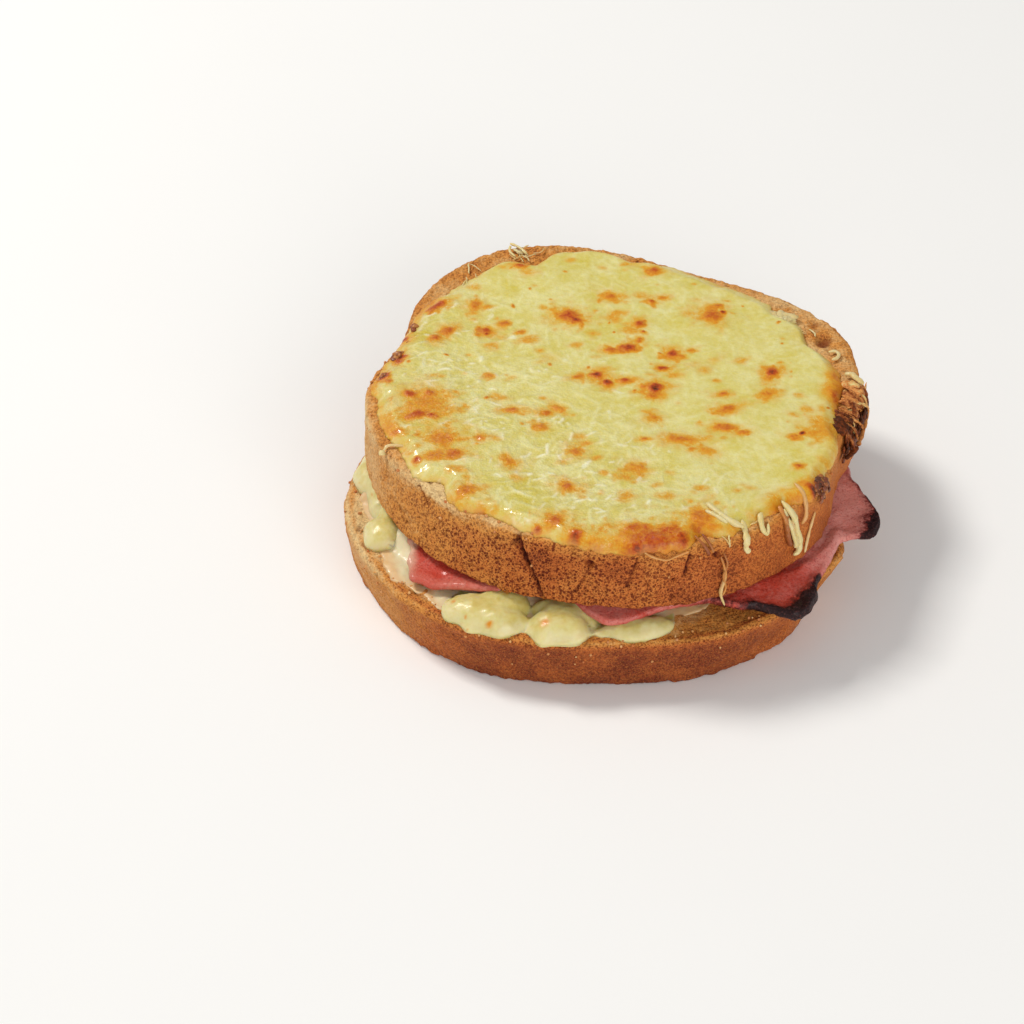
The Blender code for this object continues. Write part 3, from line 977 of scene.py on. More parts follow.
# Browned spots: x, y, half length, half width, turn, depth of browning.
SPOTS_ABOUT = (-0.24, -0.19)
BROWN_SPOTS = (
    (-10, 32, 3.4, 2.2, -25, 0.66),
    (-8, 30, 1.6, 1.1, -30, 0.80),
    (-31, 26, 1.9, 1.3, -50, 0.72),
    (-31, 24.6, 0.7, 0.6, 0, 1.00),
    (8, 28.6, 1.5, 1.2, 0, 0.70),
    (5, 18.2, 2.2, 1.1, 15, 0.74),
    (0.5, 17.4, 2.2, 0.8, 8, 0.52),
    (8, 21.4, 1.8, 1.0, 60, 0.52),
    (9, 25, 0.6, 0.4, 0, 1.00),
    (16, 16, 2.0, 1.3, -20, 0.76),
    (21, 17.6, 1.3, 0.6, 10, 0.42),
    (13.6, 10, 1.9, 0.8, 5, 0.68),
    (11.3, 1, 2.6, 2.1, -20, 0.84),
    (11.6, 1, 0.9, 0.7, 0, 0.98),
    (-3, 7, 1.8, 1.5, -20, 0.80),
    (-0.6, 3.8, 1.8, 1.2, -35, 0.84),
    (3.8, 4.6, 2.2, 0.9, 0, 0.72),
    (-8, 6.2, 1.8, 0.9, 10, 0.50),
    (41, 7.6, 2.2, 1.8, -20, 0.78),
    (39.5, -1.5, 2.2, 1.4, 20, 0.42),
    (26.6, 32.4, 3.0, 2.4, 0, 0.60),
    (29.8, 33.6, 0.6, 0.5, 60, 1.00),
    (1.3, 40.6, 2.2, 1.8, 20, 0.46),
    (11.6, 38.4, 1.4, 1.0, 0, 0.58),
    (14.4, 40, 1.8, 0.9, 10, 0.42),
    (12.6, 52, 2.2, 1.3, 10, 0.60),
    (-44, 37, 3.4, 1.1, 32, 0.70),
    (-41, 26, 2.8, 1.3, 38, 0.56),
    (-44, 22.6, 1.6, 1.1, 30, 0.62),
    (-34, 36.6, 1.8, 2.0, 0, 0.50),
    (-27, 28.8, 1.4, 1.0, 40, 0.55),
    (-22.4, 25, 1.3, 0.6, 12, 0.58),
    (-30, 7.3, 1.1, 0.8, 0, 0.42),
    (-25, -7.2, 2.4, 1.0, 4, 0.55),
    (-16, -8.2, 1.8, 1.0, 12, 0.56),
    (-13.4, -6.2, 2.0, 1.0, -35, 0.46),
    (-17, -14, 2.0, 1.4, 10, 0.46),
    (-50, -1.2, 2.4, 1.4, -25, 0.72),
    (-45, -0.6, 1.8, 1.6, 0, 0.58),
    (-48, -9, 3.6, 1.3, 12, 0.70),
    (-44.6, -9.3, 1.8, 1.0, 0, 0.62),
    (-46, -4, 5.5, 4.6, 0, 0.36),
    (-53, -15, 2.0, 1.4, 0, 0.46),
    (-42, -18.6, 4.4, 3.2, -15, 0.44),
    (-38.6, -24.6, 2.6, 1.5, -20, 0.54),
    (-43, -25, 3.2, 1.6, 0, 0.42),
    (-47.8, -25.8, 1.0, 0.9, 0, 0.72),
    (-32.4, -18.7, 1.6, 1.2, 10, 0.46),
    (28.2, -1, 1.7, 0.9, 0, 0.58),
    (29.4, -7, 3.2, 1.1, 12, 0.52),
    (28, -14.6, 3.2, 1.2, -12, 0.55),
    (32.4, -16.6, 2.0, 0.9, 0, 0.46),
    (17, -19, 4.6, 1.5, -3, 0.50),
    (8, -19, 1.2, 0.6, 0, 0.60),
    (10.6, -10.2, 2.0, 1.6, -30, 0.42),
    (-8.8, -23.4, 2.0, 1.6, 0, 0.46),
    (-11, -37.2, 2.0, 1.5, -25, 0.60),
    (-25, -28, 2.2, 1.7, 0, 0.40),
    (-35.6, -39, 3.0, 2.0, 10, 0.46),
    (-32.4, -46, 1.8, 1.5, 0, 0.70),
    (-9.4, -55.4, 2.4, 1.6, -10, 0.78),
    (-14, -50.4, 2.8, 2.0, 20, 0.56),
    (-18.4, -52.4, 1.3, 0.9, 0, 0.66),
    (5.6, -30, 2.6, 2.0, 0, 0.38),
    (45.4, -29.6, 1.0, 0.8, 0, 0.58),
    (45, -18, 1.8, 1.0, 0, 0.46),
    (47, -17, 0.7, 0.45, 60, 1.00),
    (53.0, -14.5, 4.4, 4.2, 0, 0.28),
    (50.0, -16.6, 3.0, 1.4, 10, 0.34),
    (23, -23.6, 2.6, 1.4, -10, 0.34),
    (19.6, -23, 0.9, 0.6, 0, 0.50),
    (9.2, -56.4, 8.8, 3.0, 2, 0.60),
    (4.2, -53.8, 3.4, 1.4, -4, 0.60),
    (12.5, -54.4, 3.8, 1.6, 4, 0.62),
    (9.0, -57.6, 6.0, 1.2, 0, 0.66),
    (16.4, -56.4, 1.6, 1.6, 0, 0.72),
    (21, -50, 3.4, 3.2, 20, 0.46),
    (20, -52.6, 2.2, 1.2, 10, 0.58),
    (20.5, -55.5, 2.2, 1.0, -20, 0.94),
    (48.5, -37, 2.6, 1.7, 30, 0.92),
    (-52, 24, 1.4, 0.9, 60, 0.92),
    (-53, 15.6, 1.3, 1.6, 0, 0.90),
    (-57, 8, 1.2, 1.9, 0, 0.88),
    (-22.6, 54, 2.0, 1.0, 0, 0.62),
)

# Browning of the cheese's rim: bearing, half width, depth.
RIM_BROWN = (
    (176, 9, 0.26),
    (158, 6, 0.22),
    (142, 7, 0.34),
    (197, 9, 0.26),
    (230, 7, 0.20),
    (246, 5, 0.16),
    (264, 6, 0.28),
    (280, 9, 0.66),
    (294, 7, 0.46),
    (310, 9, 0.30),
    (322, 6, 0.50),
    (346, 12, 0.30),
    (1, 9, 0.42),
    (60, 8, 0.14),
    (80, 6, 0.20),
)

# How far inside the slice's rim the cheese stops: bearing, half width, more (or less) than the usual.
CHEESE_INSET = 2.2
CHEESE_STOPS = (
    (8, 6, 2.5),
    (20, 8, 8.2),
    (34, 8, 5.6),
    (43, 3, 0.9),
    (50, 8, 1.6),
    (71, 5, -0.7),
    (84, 7, 2.2),
    (98, 5, 2.0),
    (108, 5.5, 7.6),
    (122, 9, 5.6),
    (134, 7, 3.6),
    (158, 9, -1.8),
    (176, 6, -1.2),
    (184, 2.5, 1.2),
    (194, 10, 0.2),
    (204, 4, 1.2),
    (215, 3, -1.6),
    (222, 3.5, 1.6),
    (231, 6, -1.8),
    (242, 5, 0.4),
    (262, 9, -2.0),
    (277, 9, -2.6),
    (286, 3, -1.4),
    (290.5, 2.4, 2.0),
    (296, 4, -1.2),
    (308, 7, 0.2),
    (319, 4, -2.6),
    (336, 8, -2.6),
    (356, 6, 2.2),
)
# How much wider (or narrower) than usual the slope down to the edge is, and where the edge is thinner.
CHEESE_SLOPES = ((230, 30, -1.2), (282, 26, -2.6), (330, 20, -2.0), (100, 34, -2.6), (20, 24, -2.2))
CHEESE_THIN_EDGES = ((235, 20, 0.20), (265, 8, 0.20))


class Canvas:
    """A flat map of the slice's upper face that strokes and spots are laid on."""

    def __init__(self):
        self.values = np.zeros((CANVAS_CELLS, CANVAS_CELLS))

    def window(self, x, y, reach):
        """The cells near a point, and how far each is from it along x and y."""
        low_x = max(0, int((x - reach + CANVAS_HALF) / CANVAS_STEP))
        low_y = max(0, int((y - reach + CANVAS_HALF) / CANVAS_STEP))
        size = int(2 * reach / CANVAS_STEP) + 1
        cells = self.values[low_y : low_y + size, low_x : low_x + size]
        dx = (np.arange(cells.shape[1]) + low_x + 0.5) * CANVAS_STEP - CANVAS_HALF - x
        dy = (np.arange(cells.shape[0]) + low_y + 0.5) * CANVAS_STEP - CANVAS_HALF - y
        return cells, dx[None, :], dy[:, None]

    def stroke(self, path, width, height):
        """A soft raised line along a path."""
        for share, (x, y) in zip(np.linspace(0.0, 1.0, len(path)), path):
            cells, dx, dy = self.window(x, y, 2.2 * width)
            tip = math.sqrt(max(0.0, 1.0 - (2.0 * share - 1.0) ** 4))
            np.maximum(cells, height * tip * np.exp(-(dx**2 + dy**2) / width**2), out=cells)

    def spot(self, x, y, length, width, turn, height, seed, ragged=0.35):
        """A soft spot with a ragged edge."""
        cells, dx, dy = self.window(x, y, 2.4 * max(length, width))
        angle = math.radians(turn)
        u = (dx * math.cos(angle) + dy * math.sin(angle)) / length
        v = (dy * math.cos(angle) - dx * math.sin(angle)) / width
        off = np.sqrt(u**2 + v**2) * (1.0 + ragged * layered_waves(dx + x, dy + y, 0.0, 2.4, seed, 2))
        np.maximum(cells, height * np.exp(-(np.clip(off, 0.0, None) ** 2.2) * 0.9), out=cells)

    def read(self, x, y):
        """Values at points, between the cells."""
        u = np.clip((x + CANVAS_HALF) / CANVAS_STEP - 0.5, 0, CANVAS_CELLS - 1.001)
        v = np.clip((y + CANVAS_HALF) / CANVAS_STEP - 0.5, 0, CANVAS_CELLS - 1.001)
        i, j = u.astype(int), v.astype(int)
        s, t = u - i, v - j
        low = self.values[j, i] * (1 - s) + self.values[j, i + 1] * s
        high = self.values[j + 1, i] * (1 - s) + self.values[j + 1, i + 1] * s
        return low * (1 - t) + high * t


def wandering(rng, x, y, length):
    """A gently bending path of a melted shred."""
    step = 0.4
    heading = rng.uniform(0.0, math.tau)
    turn = rng.normal(0.0, 0.11)
    path = []
    for _ in range(max(3, int(length / step))):
        path.append((x, y))
        heading += turn * step + rng.normal(0.0, 0.10)
        x += math.cos(heading) * step
        y += math.sin(heading) * step
    return path


def anywhere(rng, reach):
    """A random place on the top slice, within reach of its middle."""
    radius = reach * math.sqrt(rng.uniform(0.0, 1.0))
    angle = rng.uniform(0.0, math.tau)
    return TOP_MIDDLE[0] + radius * math.cos(angle), TOP_MIDDLE[1] + radius * math.sin(angle)


def lay_shreds(rng, count, reach, lengths, widths):
    """Canvas of the melted shreds that still show in the cheese."""
    canvas = Canvas()
    for _ in range(count):
        path = wandering(rng, *anywhere(rng, reach), rng.uniform(*lengths))
        canvas.stroke(path, rng.uniform(*widths), rng.uniform(0.3, 1.0))
    return canvas


def lay_browning(rng):
    """Canvas of the browned spots: the large ones, then small ones scattered between them."""
    canvas = Canvas()
    for number, (x, y, length, width, turn, depth) in enumerate(BROWN_SPOTS):
        x, y = x + SPOTS_ABOUT[0], y + SPOTS_ABOUT[1]
        canvas.spot(x, y, length * 1.45, width * 1.85, turn, depth * 0.36, 300 + number)
        canvas.spot(x, y, length * 0.95, width * 1.2, turn, min(1.0, depth * 1.08), 400 + number, 0.45)
    count, reach = PALE_SPECKS
    for number in range(count):
        x, y = anywhere(rng, reach)
        size, turn, depth = drawn(rng, (0.4, 1.7), (-30.0, 30.0), (0.08, 0.28))
        canvas.spot(x, y, size * 1.5, size, turn, depth, 500 + number)
    count, reach = BURNT_SPECKS
    for number in range(count):
        x, y = anywhere(rng, reach)
        length, turn, depth = drawn(rng, (0.3, 0.6), (0.0, 180.0), (0.5, 0.8))
        canvas.spot(x, y, length, 0.28, turn, depth, 800 + number)
    return canvas


def disc_cells(cells):
    """A square grid drawn out into a disc: each point's share of the way out, and its bearing."""
    line = np.linspace(-1.0, 1.0, cells + 1)
    a, b = np.meshgrid(line, line)
    a = np.where(a == 0.0, 1e-9, a)
    b = np.where(b == 0.0, 1e-9, b)
    wide = np.abs(a) > np.abs(b)
    share = np.where(wide, a, b)
    bearing = np.where(wide, 45.0 * b / a, 90.0 - 45.0 * a / b)
    return np.abs(share), np.where(share < 0.0, bearing + 180.0, bearing)


def closed_sheet(loaf, surface, bearing, past, marks):
    """Points, faces and marks of a sheet that lies on the slice, with an underside sunk into the bread."""
    rows, columns = bearing.shape
    number = np.arange(rows * columns).reshape(rows, columns)
    quads = np.stack((number[:-1, :-1], number[:-1, 1:], number[1:, 1:], number[1:, :-1]), -1).reshape(-1, 4)
    border = np.concatenate((number[0, :-1], number[:-1, -1], number[-1, :0:-1], number[:0:-1, 0]))
    edge_bearing = bearing.ravel()[border]
    edge_past = past.ravel()[border]
    under = [loaf.over(edge_bearing, edge_past - inward, -CHEESE_SINK) for inward in CHEESE_UNDER]
    centre = np.array([[loaf.middle[0], loaf.middle[1], loaf.high - CHEESE_SINK]])
    count = rows * columns
    around = len(border)
    faces = quads.tolist()
    for here in range(around):
        there = (here + 1) % around
        faces.append((int(border[there]), int(border[here]), count + here, count + there))
        for ring in range(2):
            low = count + ring * around
            faces.append((low + there, low + here, low + around + here, low + around + there))
        faces.append((count + 2 * around + there, count + 2 * around + here, count + 3 * around))
    all_marks = {}
    for name, values in marks.items():
        edge = values.ravel()[border]
        all_marks[name] = np.concatenate((values.ravel(), edge, edge, edge, [0.0]))
    return np.concatenate((surface.reshape(-1, 3), *under, centre)), faces, all_marks


def make_top_cheese(loaf, finish):
    """The grilled cheese, melted over the top slice."""
    rng = np.random.default_rng(CHEESE_SEED)
    shreds = lay_shreds(rng, *MELTED_SHREDS)
    painted_glint_canvas = lay_shreds(rng, *PAINTED_GLINT_STROKES)
    brown_canvas = lay_browning(rng)
    share, bearing = disc_cells(CHEESE_CELLS)
    angle = np.radians(bearing)
    round_it = (np.cos(angle) * 60, np.sin(angle) * 60, 0)
    stop = CHEESE_INSET + humps(bearing, CHEESE_STOPS) + 0.40 * waves(*round_it, 4.0, 31)
    flow = loaf.rim(bearing) - stop
    outer = flow - 0.40 * layered_waves(*round_it, 1.7, 32, 2)
    along = outer * share
    past = along - loaf.rim(bearing)
    x = loaf.middle[0] + along * np.cos(angle)
    y = loaf.middle[1] + along * np.sin(angle)
    from_edge = outer - along

    left_front = ease(-(0.80 * x + 0.60 * y), -22.0, 38.0)
    shred_height = shreds.read(x, y) - 0.16
    softness = 0.35 + 0.65 * left_front
    lift = CHEESE_THICK + 0.40 * waves(x, y, 0, 17.0, 41) + 0.24 * waves(x, y, 0, 7.0, 42)
    lift = lift + 0.13 * layered_waves(x, y, 0, 2.6, 43, 3) * (0.6 + 0.6 * left_front)
    # Streaks of painted glint, mostly at the left and front; they also raise the cheese a little.
    painted_glint = painted_glint_canvas.read(x, y) * ease(left_front + 0.5 * waves(x, y, 0, 8.0, 44), 0.25, 0.8)
    lift = lift + 0.24 * shred_height * softness + 0.22 * painted_glint
    brown = brown_canvas.read(x, y)
    rim_depth = humps(bearing, RIM_BROWN) * (1.0 + 0.8 * layered_waves(x, y, 0, 4.5, 51, 2))
    rim_width = 3.2 + 1.6 * waves(x, y, 0, 8.0, 52)
    rim_depth = np.maximum(rim_depth, 0.05)
    brown = np.maximum(brown, np.clip(rim_depth, 0.0, 0.95) * np.exp(-((from_edge / rim_width) ** 2)))
    lift = lift + 0.30 * ease(brown, 0.25, 0.7) - 0.25 * ease(brown, 0.8, 1.0)
    edge_width = 5.6 + humps(bearing, CHEESE_SLOPES) + 1.2 * waves(x, y, 0, 6.0, 53)
    lip = 0.26 * rounded_edge(from_edge / 1.1)
    lift = 0.08 + lip + (lift - 0.34) * ease(flow - along + 0.4, 0.0, edge_width)
    lift = np.where(share > 0.9999, 0.05, lift)
    surface = loaf.over(bearing, past, np.maximum(lift, 0.05))

    deep = np.clip(0.55 * waves(x, y, 0, 12.0, 61) + 0.35 * waves(x, y, 0, 4.0, 62), 0.0, 1.0)
    deep = np.maximum(deep * (0.55 + 0.45 * left_front), 0.35 * (1.0 - ease(from_edge, 0.0, 3.0)))
    wet = np.clip(0.25 + 0.75 * left_front, 0.0, 1.0) * (0.3 + 0.7 * ease(from_edge, 0.4, 2.6))
    thin = 1.0 - ease(from_edge + 0.8 * layered_waves(x, y, 0, 2.2, 63, 2), 0.1, 1.5)
    thin = thin * (0.30 + humps(bearing, CHEESE_THIN_EDGES))
    strand = np.clip(shred_height * 1.2, 0.0, 1.0) * (0.45 + 0.55 * left_front)
    marks = {"brown": brown, "deep": deep, "wet": wet, "strand": strand, "painted_glint": painted_glint, "thin": thin}
    points, faces, marks = closed_sheet(loaf, surface, bearing, past, marks)
    make_piece("grilled_cheese", points, faces, marks, finish, ["cheese_top"])


# ------------------------------------------------------------------ filling, sauce and ham

# About how far out the rims are, for where the exact distance doesn't matter.
USUAL_REACH = 60.0

# Points round the filling, rows from its inner ring to its edge, and where its edge is looked for.
FILLING_AROUND = 900
FILLING_ROWS = 60
FILLING_INNER = 50.0
FILLING_OUTER = 82.0
FILLING_STEP = 0.2
FILLING_EDGE = 58.6
FILLING_THIN = 0.25
FILLING_SMOOTH = 120.0
# Lumps that bulge out at the front: bearing, out from the middle, half width round and outwards, height.
FILLING_LUMPS = (
    (189.5, 56.5, 18.0, 7.2, 5.5),
    (208.2, 63.6, 5.2, 5.0, 5.0),
    (205.0, 59.0, 5.0, 4.0, 5.0),
    (242.6, 67.6, 10.4, 6.8, 4.5),
    (245.0, 62.0, 7.0, 5.0, 4.6),
    (258.9, 66.2, 8.0, 6.2, 4.4),
    (259.5, 61.0, 8.0, 5.0, 4.2),
    (275.6, 65.6, 9.6, 4.6, 2.9),
)
# Small golden spots on the lumps: bearing, out from the middle, size and depth.
FILLING_SPOTS = (
    (256.4, 68.4, 1.0, 0.42),
    (236.6, 69.4, 0.5, 0.40),
    (245.6, 61.8, 0.6, 0.50),
    (268.4, 64.0, 0.7, 0.30),
)


def room_above(x, y, ham, upper):
    """Height that soft food may reach at each point: just under the ham and the top slice."""
    limit = np.full(x.shape, FAR)
    for spot in np.ndindex(x.shape):
        under = height_at(ham, x[spot], y[spot], down=False)
        if under is not None:
            limit[spot] = under - 0.15
    bearing = np.degrees(np.arctan2(y - TOP_MIDDLE[1], x - TOP_MIDDLE[0]))
    within = np.hypot(x - TOP_MIDDLE[0], y - TOP_MIDDLE[1]) < upper.side(bearing, upper.low + 1.5) + 0.3
    return np.where(within, np.minimum(limit, upper.low - 0.1), limit)


def round_middle(bearing, radius):
    """Where a bearing and a distance from the top slice's middle lead to."""
    angle = np.radians(bearing)
    return TOP_MIDDLE[0] + radius * np.cos(angle), TOP_MIDDLE[1] + radius * np.sin(angle)


def spread_over(lower, bearing, rows, height, limit_by):
    """Rings of soft food that lies on the lower slice: in under it, then back over its top."""
    x, y = round_middle(bearing, rows)
    floor = lower.high - 0.4
    top = np.minimum(lower.high + height, room_above(x, y, *limit_by))
    top = np.maximum(top, floor + 0.03)
    upper = np.stack((x, y, top), -1)[::-1]
    under = upper[[-1, 0]]
    under[..., 2] = floor
    return np.concatenate((under, upper))


def over_it(values):
    """Marks of food that is spread over the slice, with none on its two rings underneath."""
    return np.concatenate((np.zeros((2, values.shape[1])), values[::-1]))


def filling_height(bearing, radius):
    """Height of the soft cheese over the lower slice."""
    x, y = round_middle(bearing, radius)
    edge = FILLING_EDGE + 0.8 * waves(x, y, 0, 5.0, 80)
    total = (1.4 + 1.8 * (1.0 - ease(radius, 51.0, 57.0))) * rounded_edge((edge - radius) / 1.4)
    for number, (at, out, along, across, high) in enumerate(FILLING_LUMPS):
        u = np.radians(off_bearing(bearing, at)) * out / along
        v = (radius - out) / across
        off = np.sqrt(u**2 + v**2) * (1.0 + 0.20 * waves(x, y, 0, 4.6, 120 + number))
        dome = high * np.clip(1.0 - off**2.4, 0.0, 1.0) ** 0.62
        total = (np.maximum(total, 0.0) ** 4 + dome**4) ** 0.25
    grain = 0.30 * waves(x, y, 0, 4.2, 81) + 0.17 * layered_waves(x, y, 0, 1.8, 84, 2)
    return total + grain * ease(total, 0.3, 1.5)


def rows_out(inner, reach, count):
    """Distances from the middle of rings from an inner one to the edge, closer together near the edge."""
    return inner + (reach - inner) * np.linspace(0.0, 1.0, count)[:, None] ** 0.8


def make_filling(limit_by, lower, finish):
    """Soft cheese between the slices, with the lumps that bulge out at the front."""
    bearing = bearings(FILLING_AROUND)
    steps = np.arange(FILLING_INNER, FILLING_OUTER, FILLING_STEP)[:, None]
    thick = filling_height(bearing, steps) > FILLING_THIN
    last = len(steps) - 1 - np.argmax(thick[::-1], axis=0)
    turns = np.fft.rfft(steps[last, 0])
    turns = turns * np.exp(-((np.arange(len(turns)) / FILLING_SMOOTH) ** 2))
    reach = np.fft.irfft(turns, FILLING_AROUND)
    rows = rows_out(FILLING_INNER, reach, FILLING_ROWS)
    height = np.maximum(filling_height(bearing, rows), 0.3)
    rings = spread_over(lower, bearing, rows, height, limit_by)
    x, y, z = rings[..., 0], rings[..., 1], rings[..., 2]
    spots = np.clip(layered_waves(x, y, z, 3.0, 85, 2) - 0.85, 0.0, 1.0) * 1.6
    for at, out, size, depth in FILLING_SPOTS:
        spot_x, spot_y = round_middle(at, out)
        spots = np.maximum(spots, depth * np.exp(-((x - spot_x) ** 2 + (y - spot_y) ** 2) / size**2))
    stray = 1.3 * layered_waves(*round_middle(bearing, rows), 0, 2.4, 86, 2)
    milky = 0.42 * (1.0 - ease(reach - rows + stray, 0.2, 3.4))
    marks = {"brown": spots, "milky": over_it(milky)}
    make_ringed_piece("soft_cheese_filling", rings, marks, finish, ["cheese_filling"])


# Points round the sauce, rows from its inner ring to its edge, and the thickness of its film.
SAUCE_AROUND = 900
SAUCE_ROWS = 36
SAUCE_INNER = 52.0
SAUCE_FILM = 0.34
# How far the sauce runs out: bearing, and out from the middle.
SAUCE_EDGE = (
    (172, 56.0),
    (180, 58.6),
    (187, 60.8),
    (194, 63.8),
    (204, 64.6),
    (210, 66.8),
    (216, 68.6),
    (221, 70.4),
    (230, 69.4),
    (235, 70.2),
    (240, 67.5),
    (243, 65.4),
    (250, 66.4),
    (262, 65.2),
    (275, 63.4),
    (290, 61.4),
    (302, 58.0),
    (310, 55.0),
)
# Where the sauce stands higher, near the slices: bearing, half width, height.
SAUCE_RISE = ((186, 10, 5.2), (213, 6, 4.4), (199, 12, 1.5), (246, 30, 1.2))


def make_sauce(limit_by, lower, finish):
    """The thin white sauce that runs out over the lower slice."""
    bearing = bearings(SAUCE_AROUND)
    stops = np.array(SAUCE_EDGE)
    reach = np.interp(bearing, stops[:, 0], stops[:, 1])
    x, y = round_middle(bearing, USUAL_REACH)
    reach = reach + 0.8 * waves(x, y, 0, 5.0, 91) + 0.45 * layered_waves(x, y, 0, 1.9, 92, 2)
    rows = rows_out(SAUCE_INNER, reach, SAUCE_ROWS)
    x, y = round_middle(bearing, rows)
    lip = rounded_edge((reach - rows) / 3.2)
    film = (SAUCE_FILM + 0.26 * layered_waves(x, y, 0, 4.0, 93)) * lip - 0.10
    rise = humps(bearing, SAUCE_RISE) * (1.0 - ease(rows + 0.7 * waves(x, y, 0, 3.0, 94), 58.5, 64.5))
    rings = spread_over(lower, bearing, rows, film + rise * ease(lip, 0.0, 0.9), limit_by)
    edge = 1.0 - ease(reach - rows + 1.2 * layered_waves(x, y, 0, 3.0, 95, 2), 0.0, 5.0)
    make_ringed_piece("white_sauce", rings, {"brown": over_it(0.20 * edge)}, finish, ())


# Points round the ham, rings over it, its inner ring, half its thickness, and how its solid is read.
HAM_AROUND = 820
HAM_RINGS = 38
HAM_INNER = 44.0
HAM_HALF = 1.0
HAM_HEIGHTS = 16
HAM_SHARES = 14
HAM_FOLD_RISE = 1.1
# How much further (or less far) the ham's edge reaches than its solid: bearing, half width, millimetres.
HAM_TRIM = (
    (215.2, 2.0, 1.8),
    (225.5, 4.0, -1.5),
    (244.5, 3.5, 1.7),
    (268.0, 5.0, 2.4),
    (278.0, 9.0, 1.0),
    (296.8, 3.0, 5.0),
    (303.2, 1.8, -2.6),
    (306.7, 1.5, -1.6),
    (312.0, 2.0, 0.9),
    (333.0, 2.0, 1.2),
)
# How far in from the edge the ham is charred: bearing, half width, millimetres.
HAM_CHARRED = ((308.6, 4.2, 4.6), (300.5, 3.0, 1.1), (315, 2.2, 0.8), (335.5, 3.2, 3.8), (342, 3, 0.9))
# Where the ham is singed, fatty, pinkish, streaked and matt: bearing, half width, how much. The pinkish parts
# are partly pink meat and partly painted light, lighter where the ham lies in shade at the front and right.
HAM_SINGED = ((294.5, 6.5, 1.2), (309, 8, 1.0), (335, 6, 0.9), (346, 6, 0.8))
HAM_FATTY = ((219, 4.5, 0.95), (238, 12, 0.15))
HAM_PINKISH_AND_PAINTED_LIGHT = (
    (340, 14, 1.1),
    (322, 7, 0.65),
    (308, 8, 0.06),
    (286, 10, 0.35),
    (270, 6, 0.25),
    (260, 9, 0.45),
    (244, 8, 0.3),
    (222, 10, -0.1),
)
HAM_STREAKED = ((226, 15, 0.7), (284, 14, 0.4), (325, 20, 0.5))
HAM_MATT = ((341, 13, 0.9),)
# A fold between the two lobes at the right: bearing and out from the middle.
HAM_FOLD = ((314.0, 66.2), (319.0, 67.0), (324.0, 67.0), (328.5, 66.0))


def read_ham():
    """How far the ham's solid reaches at each bearing that is read, and its middle heights on the way out."""
    solid = solid_of("ham")
    lowest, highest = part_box("ham")
    heights = np.linspace(lowest[2] / MM + 0.15, highest[2] / MM - 0.15, HAM_HEIGHTS)
    reach = np.array([reach_round(solid, TOP_MIDDLE, height) for height in heights]).max(0)
    read_at = np.arange(READ_BEARINGS) * 360.0 / READ_BEARINGS
    middles = np.zeros((HAM_SHARES, READ_BEARINGS))
    for column, (at, far) in enumerate(zip(read_at, reach)):
        last = (lowest[2] + highest[2]) / 2 / MM
        for row, share in enumerate(np.linspace(0.0, 1.0, HAM_SHARES)):
            x, y = round_middle(at, HAM_INNER + (far - 0.4 - HAM_INNER) * share)
            top = height_at(solid, x, y)
            base = height_at(solid, x, y, down=False)
            if top is not None and base is not None:
                last = (top + base) / 2
            middles[row, column] = last
    return reach, middles


def ham_rings(bearing, outer, middles):
    """Rings of the ham, from its middle out under it and back in over it."""
    table = np.array([at_bearing(smooth_ring(row, 60), bearing) for row in middles])
    fold = curve_through([(*round_middle(at, out), 0.0) for at, out in HAM_FOLD], 24)
    upper = []
    lower = []
    for share in np.linspace(0.0, 1.0, HAM_RINGS) ** 0.7:
        radius = HAM_INNER + (outer - HAM_INNER) * share
        x, y = round_middle(bearing, radius)
        at = share * (HAM_SHARES - 1)
        low = min(int(at), HAM_SHARES - 2)
        height = table[low] + (table[low + 1] - table[low]) * (at - low)
        outside = ease(radius, 58.0, 66.0)
        height = height + outside * (0.40 * waves(x, y, 0, 6.0, 102) + 0.22 * waves(x, y, 0, 2.6, 103))
        flat = np.stack((x, y, 0.0 * x), -1)
        height = height + HAM_FOLD_RISE * groove(flat, fold, 2.2)
        half = HAM_HALF + 0.12 * waves(x, y, 0, 4.0, 104)
        half = half * np.maximum(rounded_edge(outer - radius), 0.02)
        rough = 0.08 * layered_waves(x, y, 0, 1.4, 105, 2)
        upper.append(np.stack((x, y, height + half + rough), -1))
        lower.append(np.stack((x, y, height - half), -1))
    return np.array(lower + upper[::-1][1:])


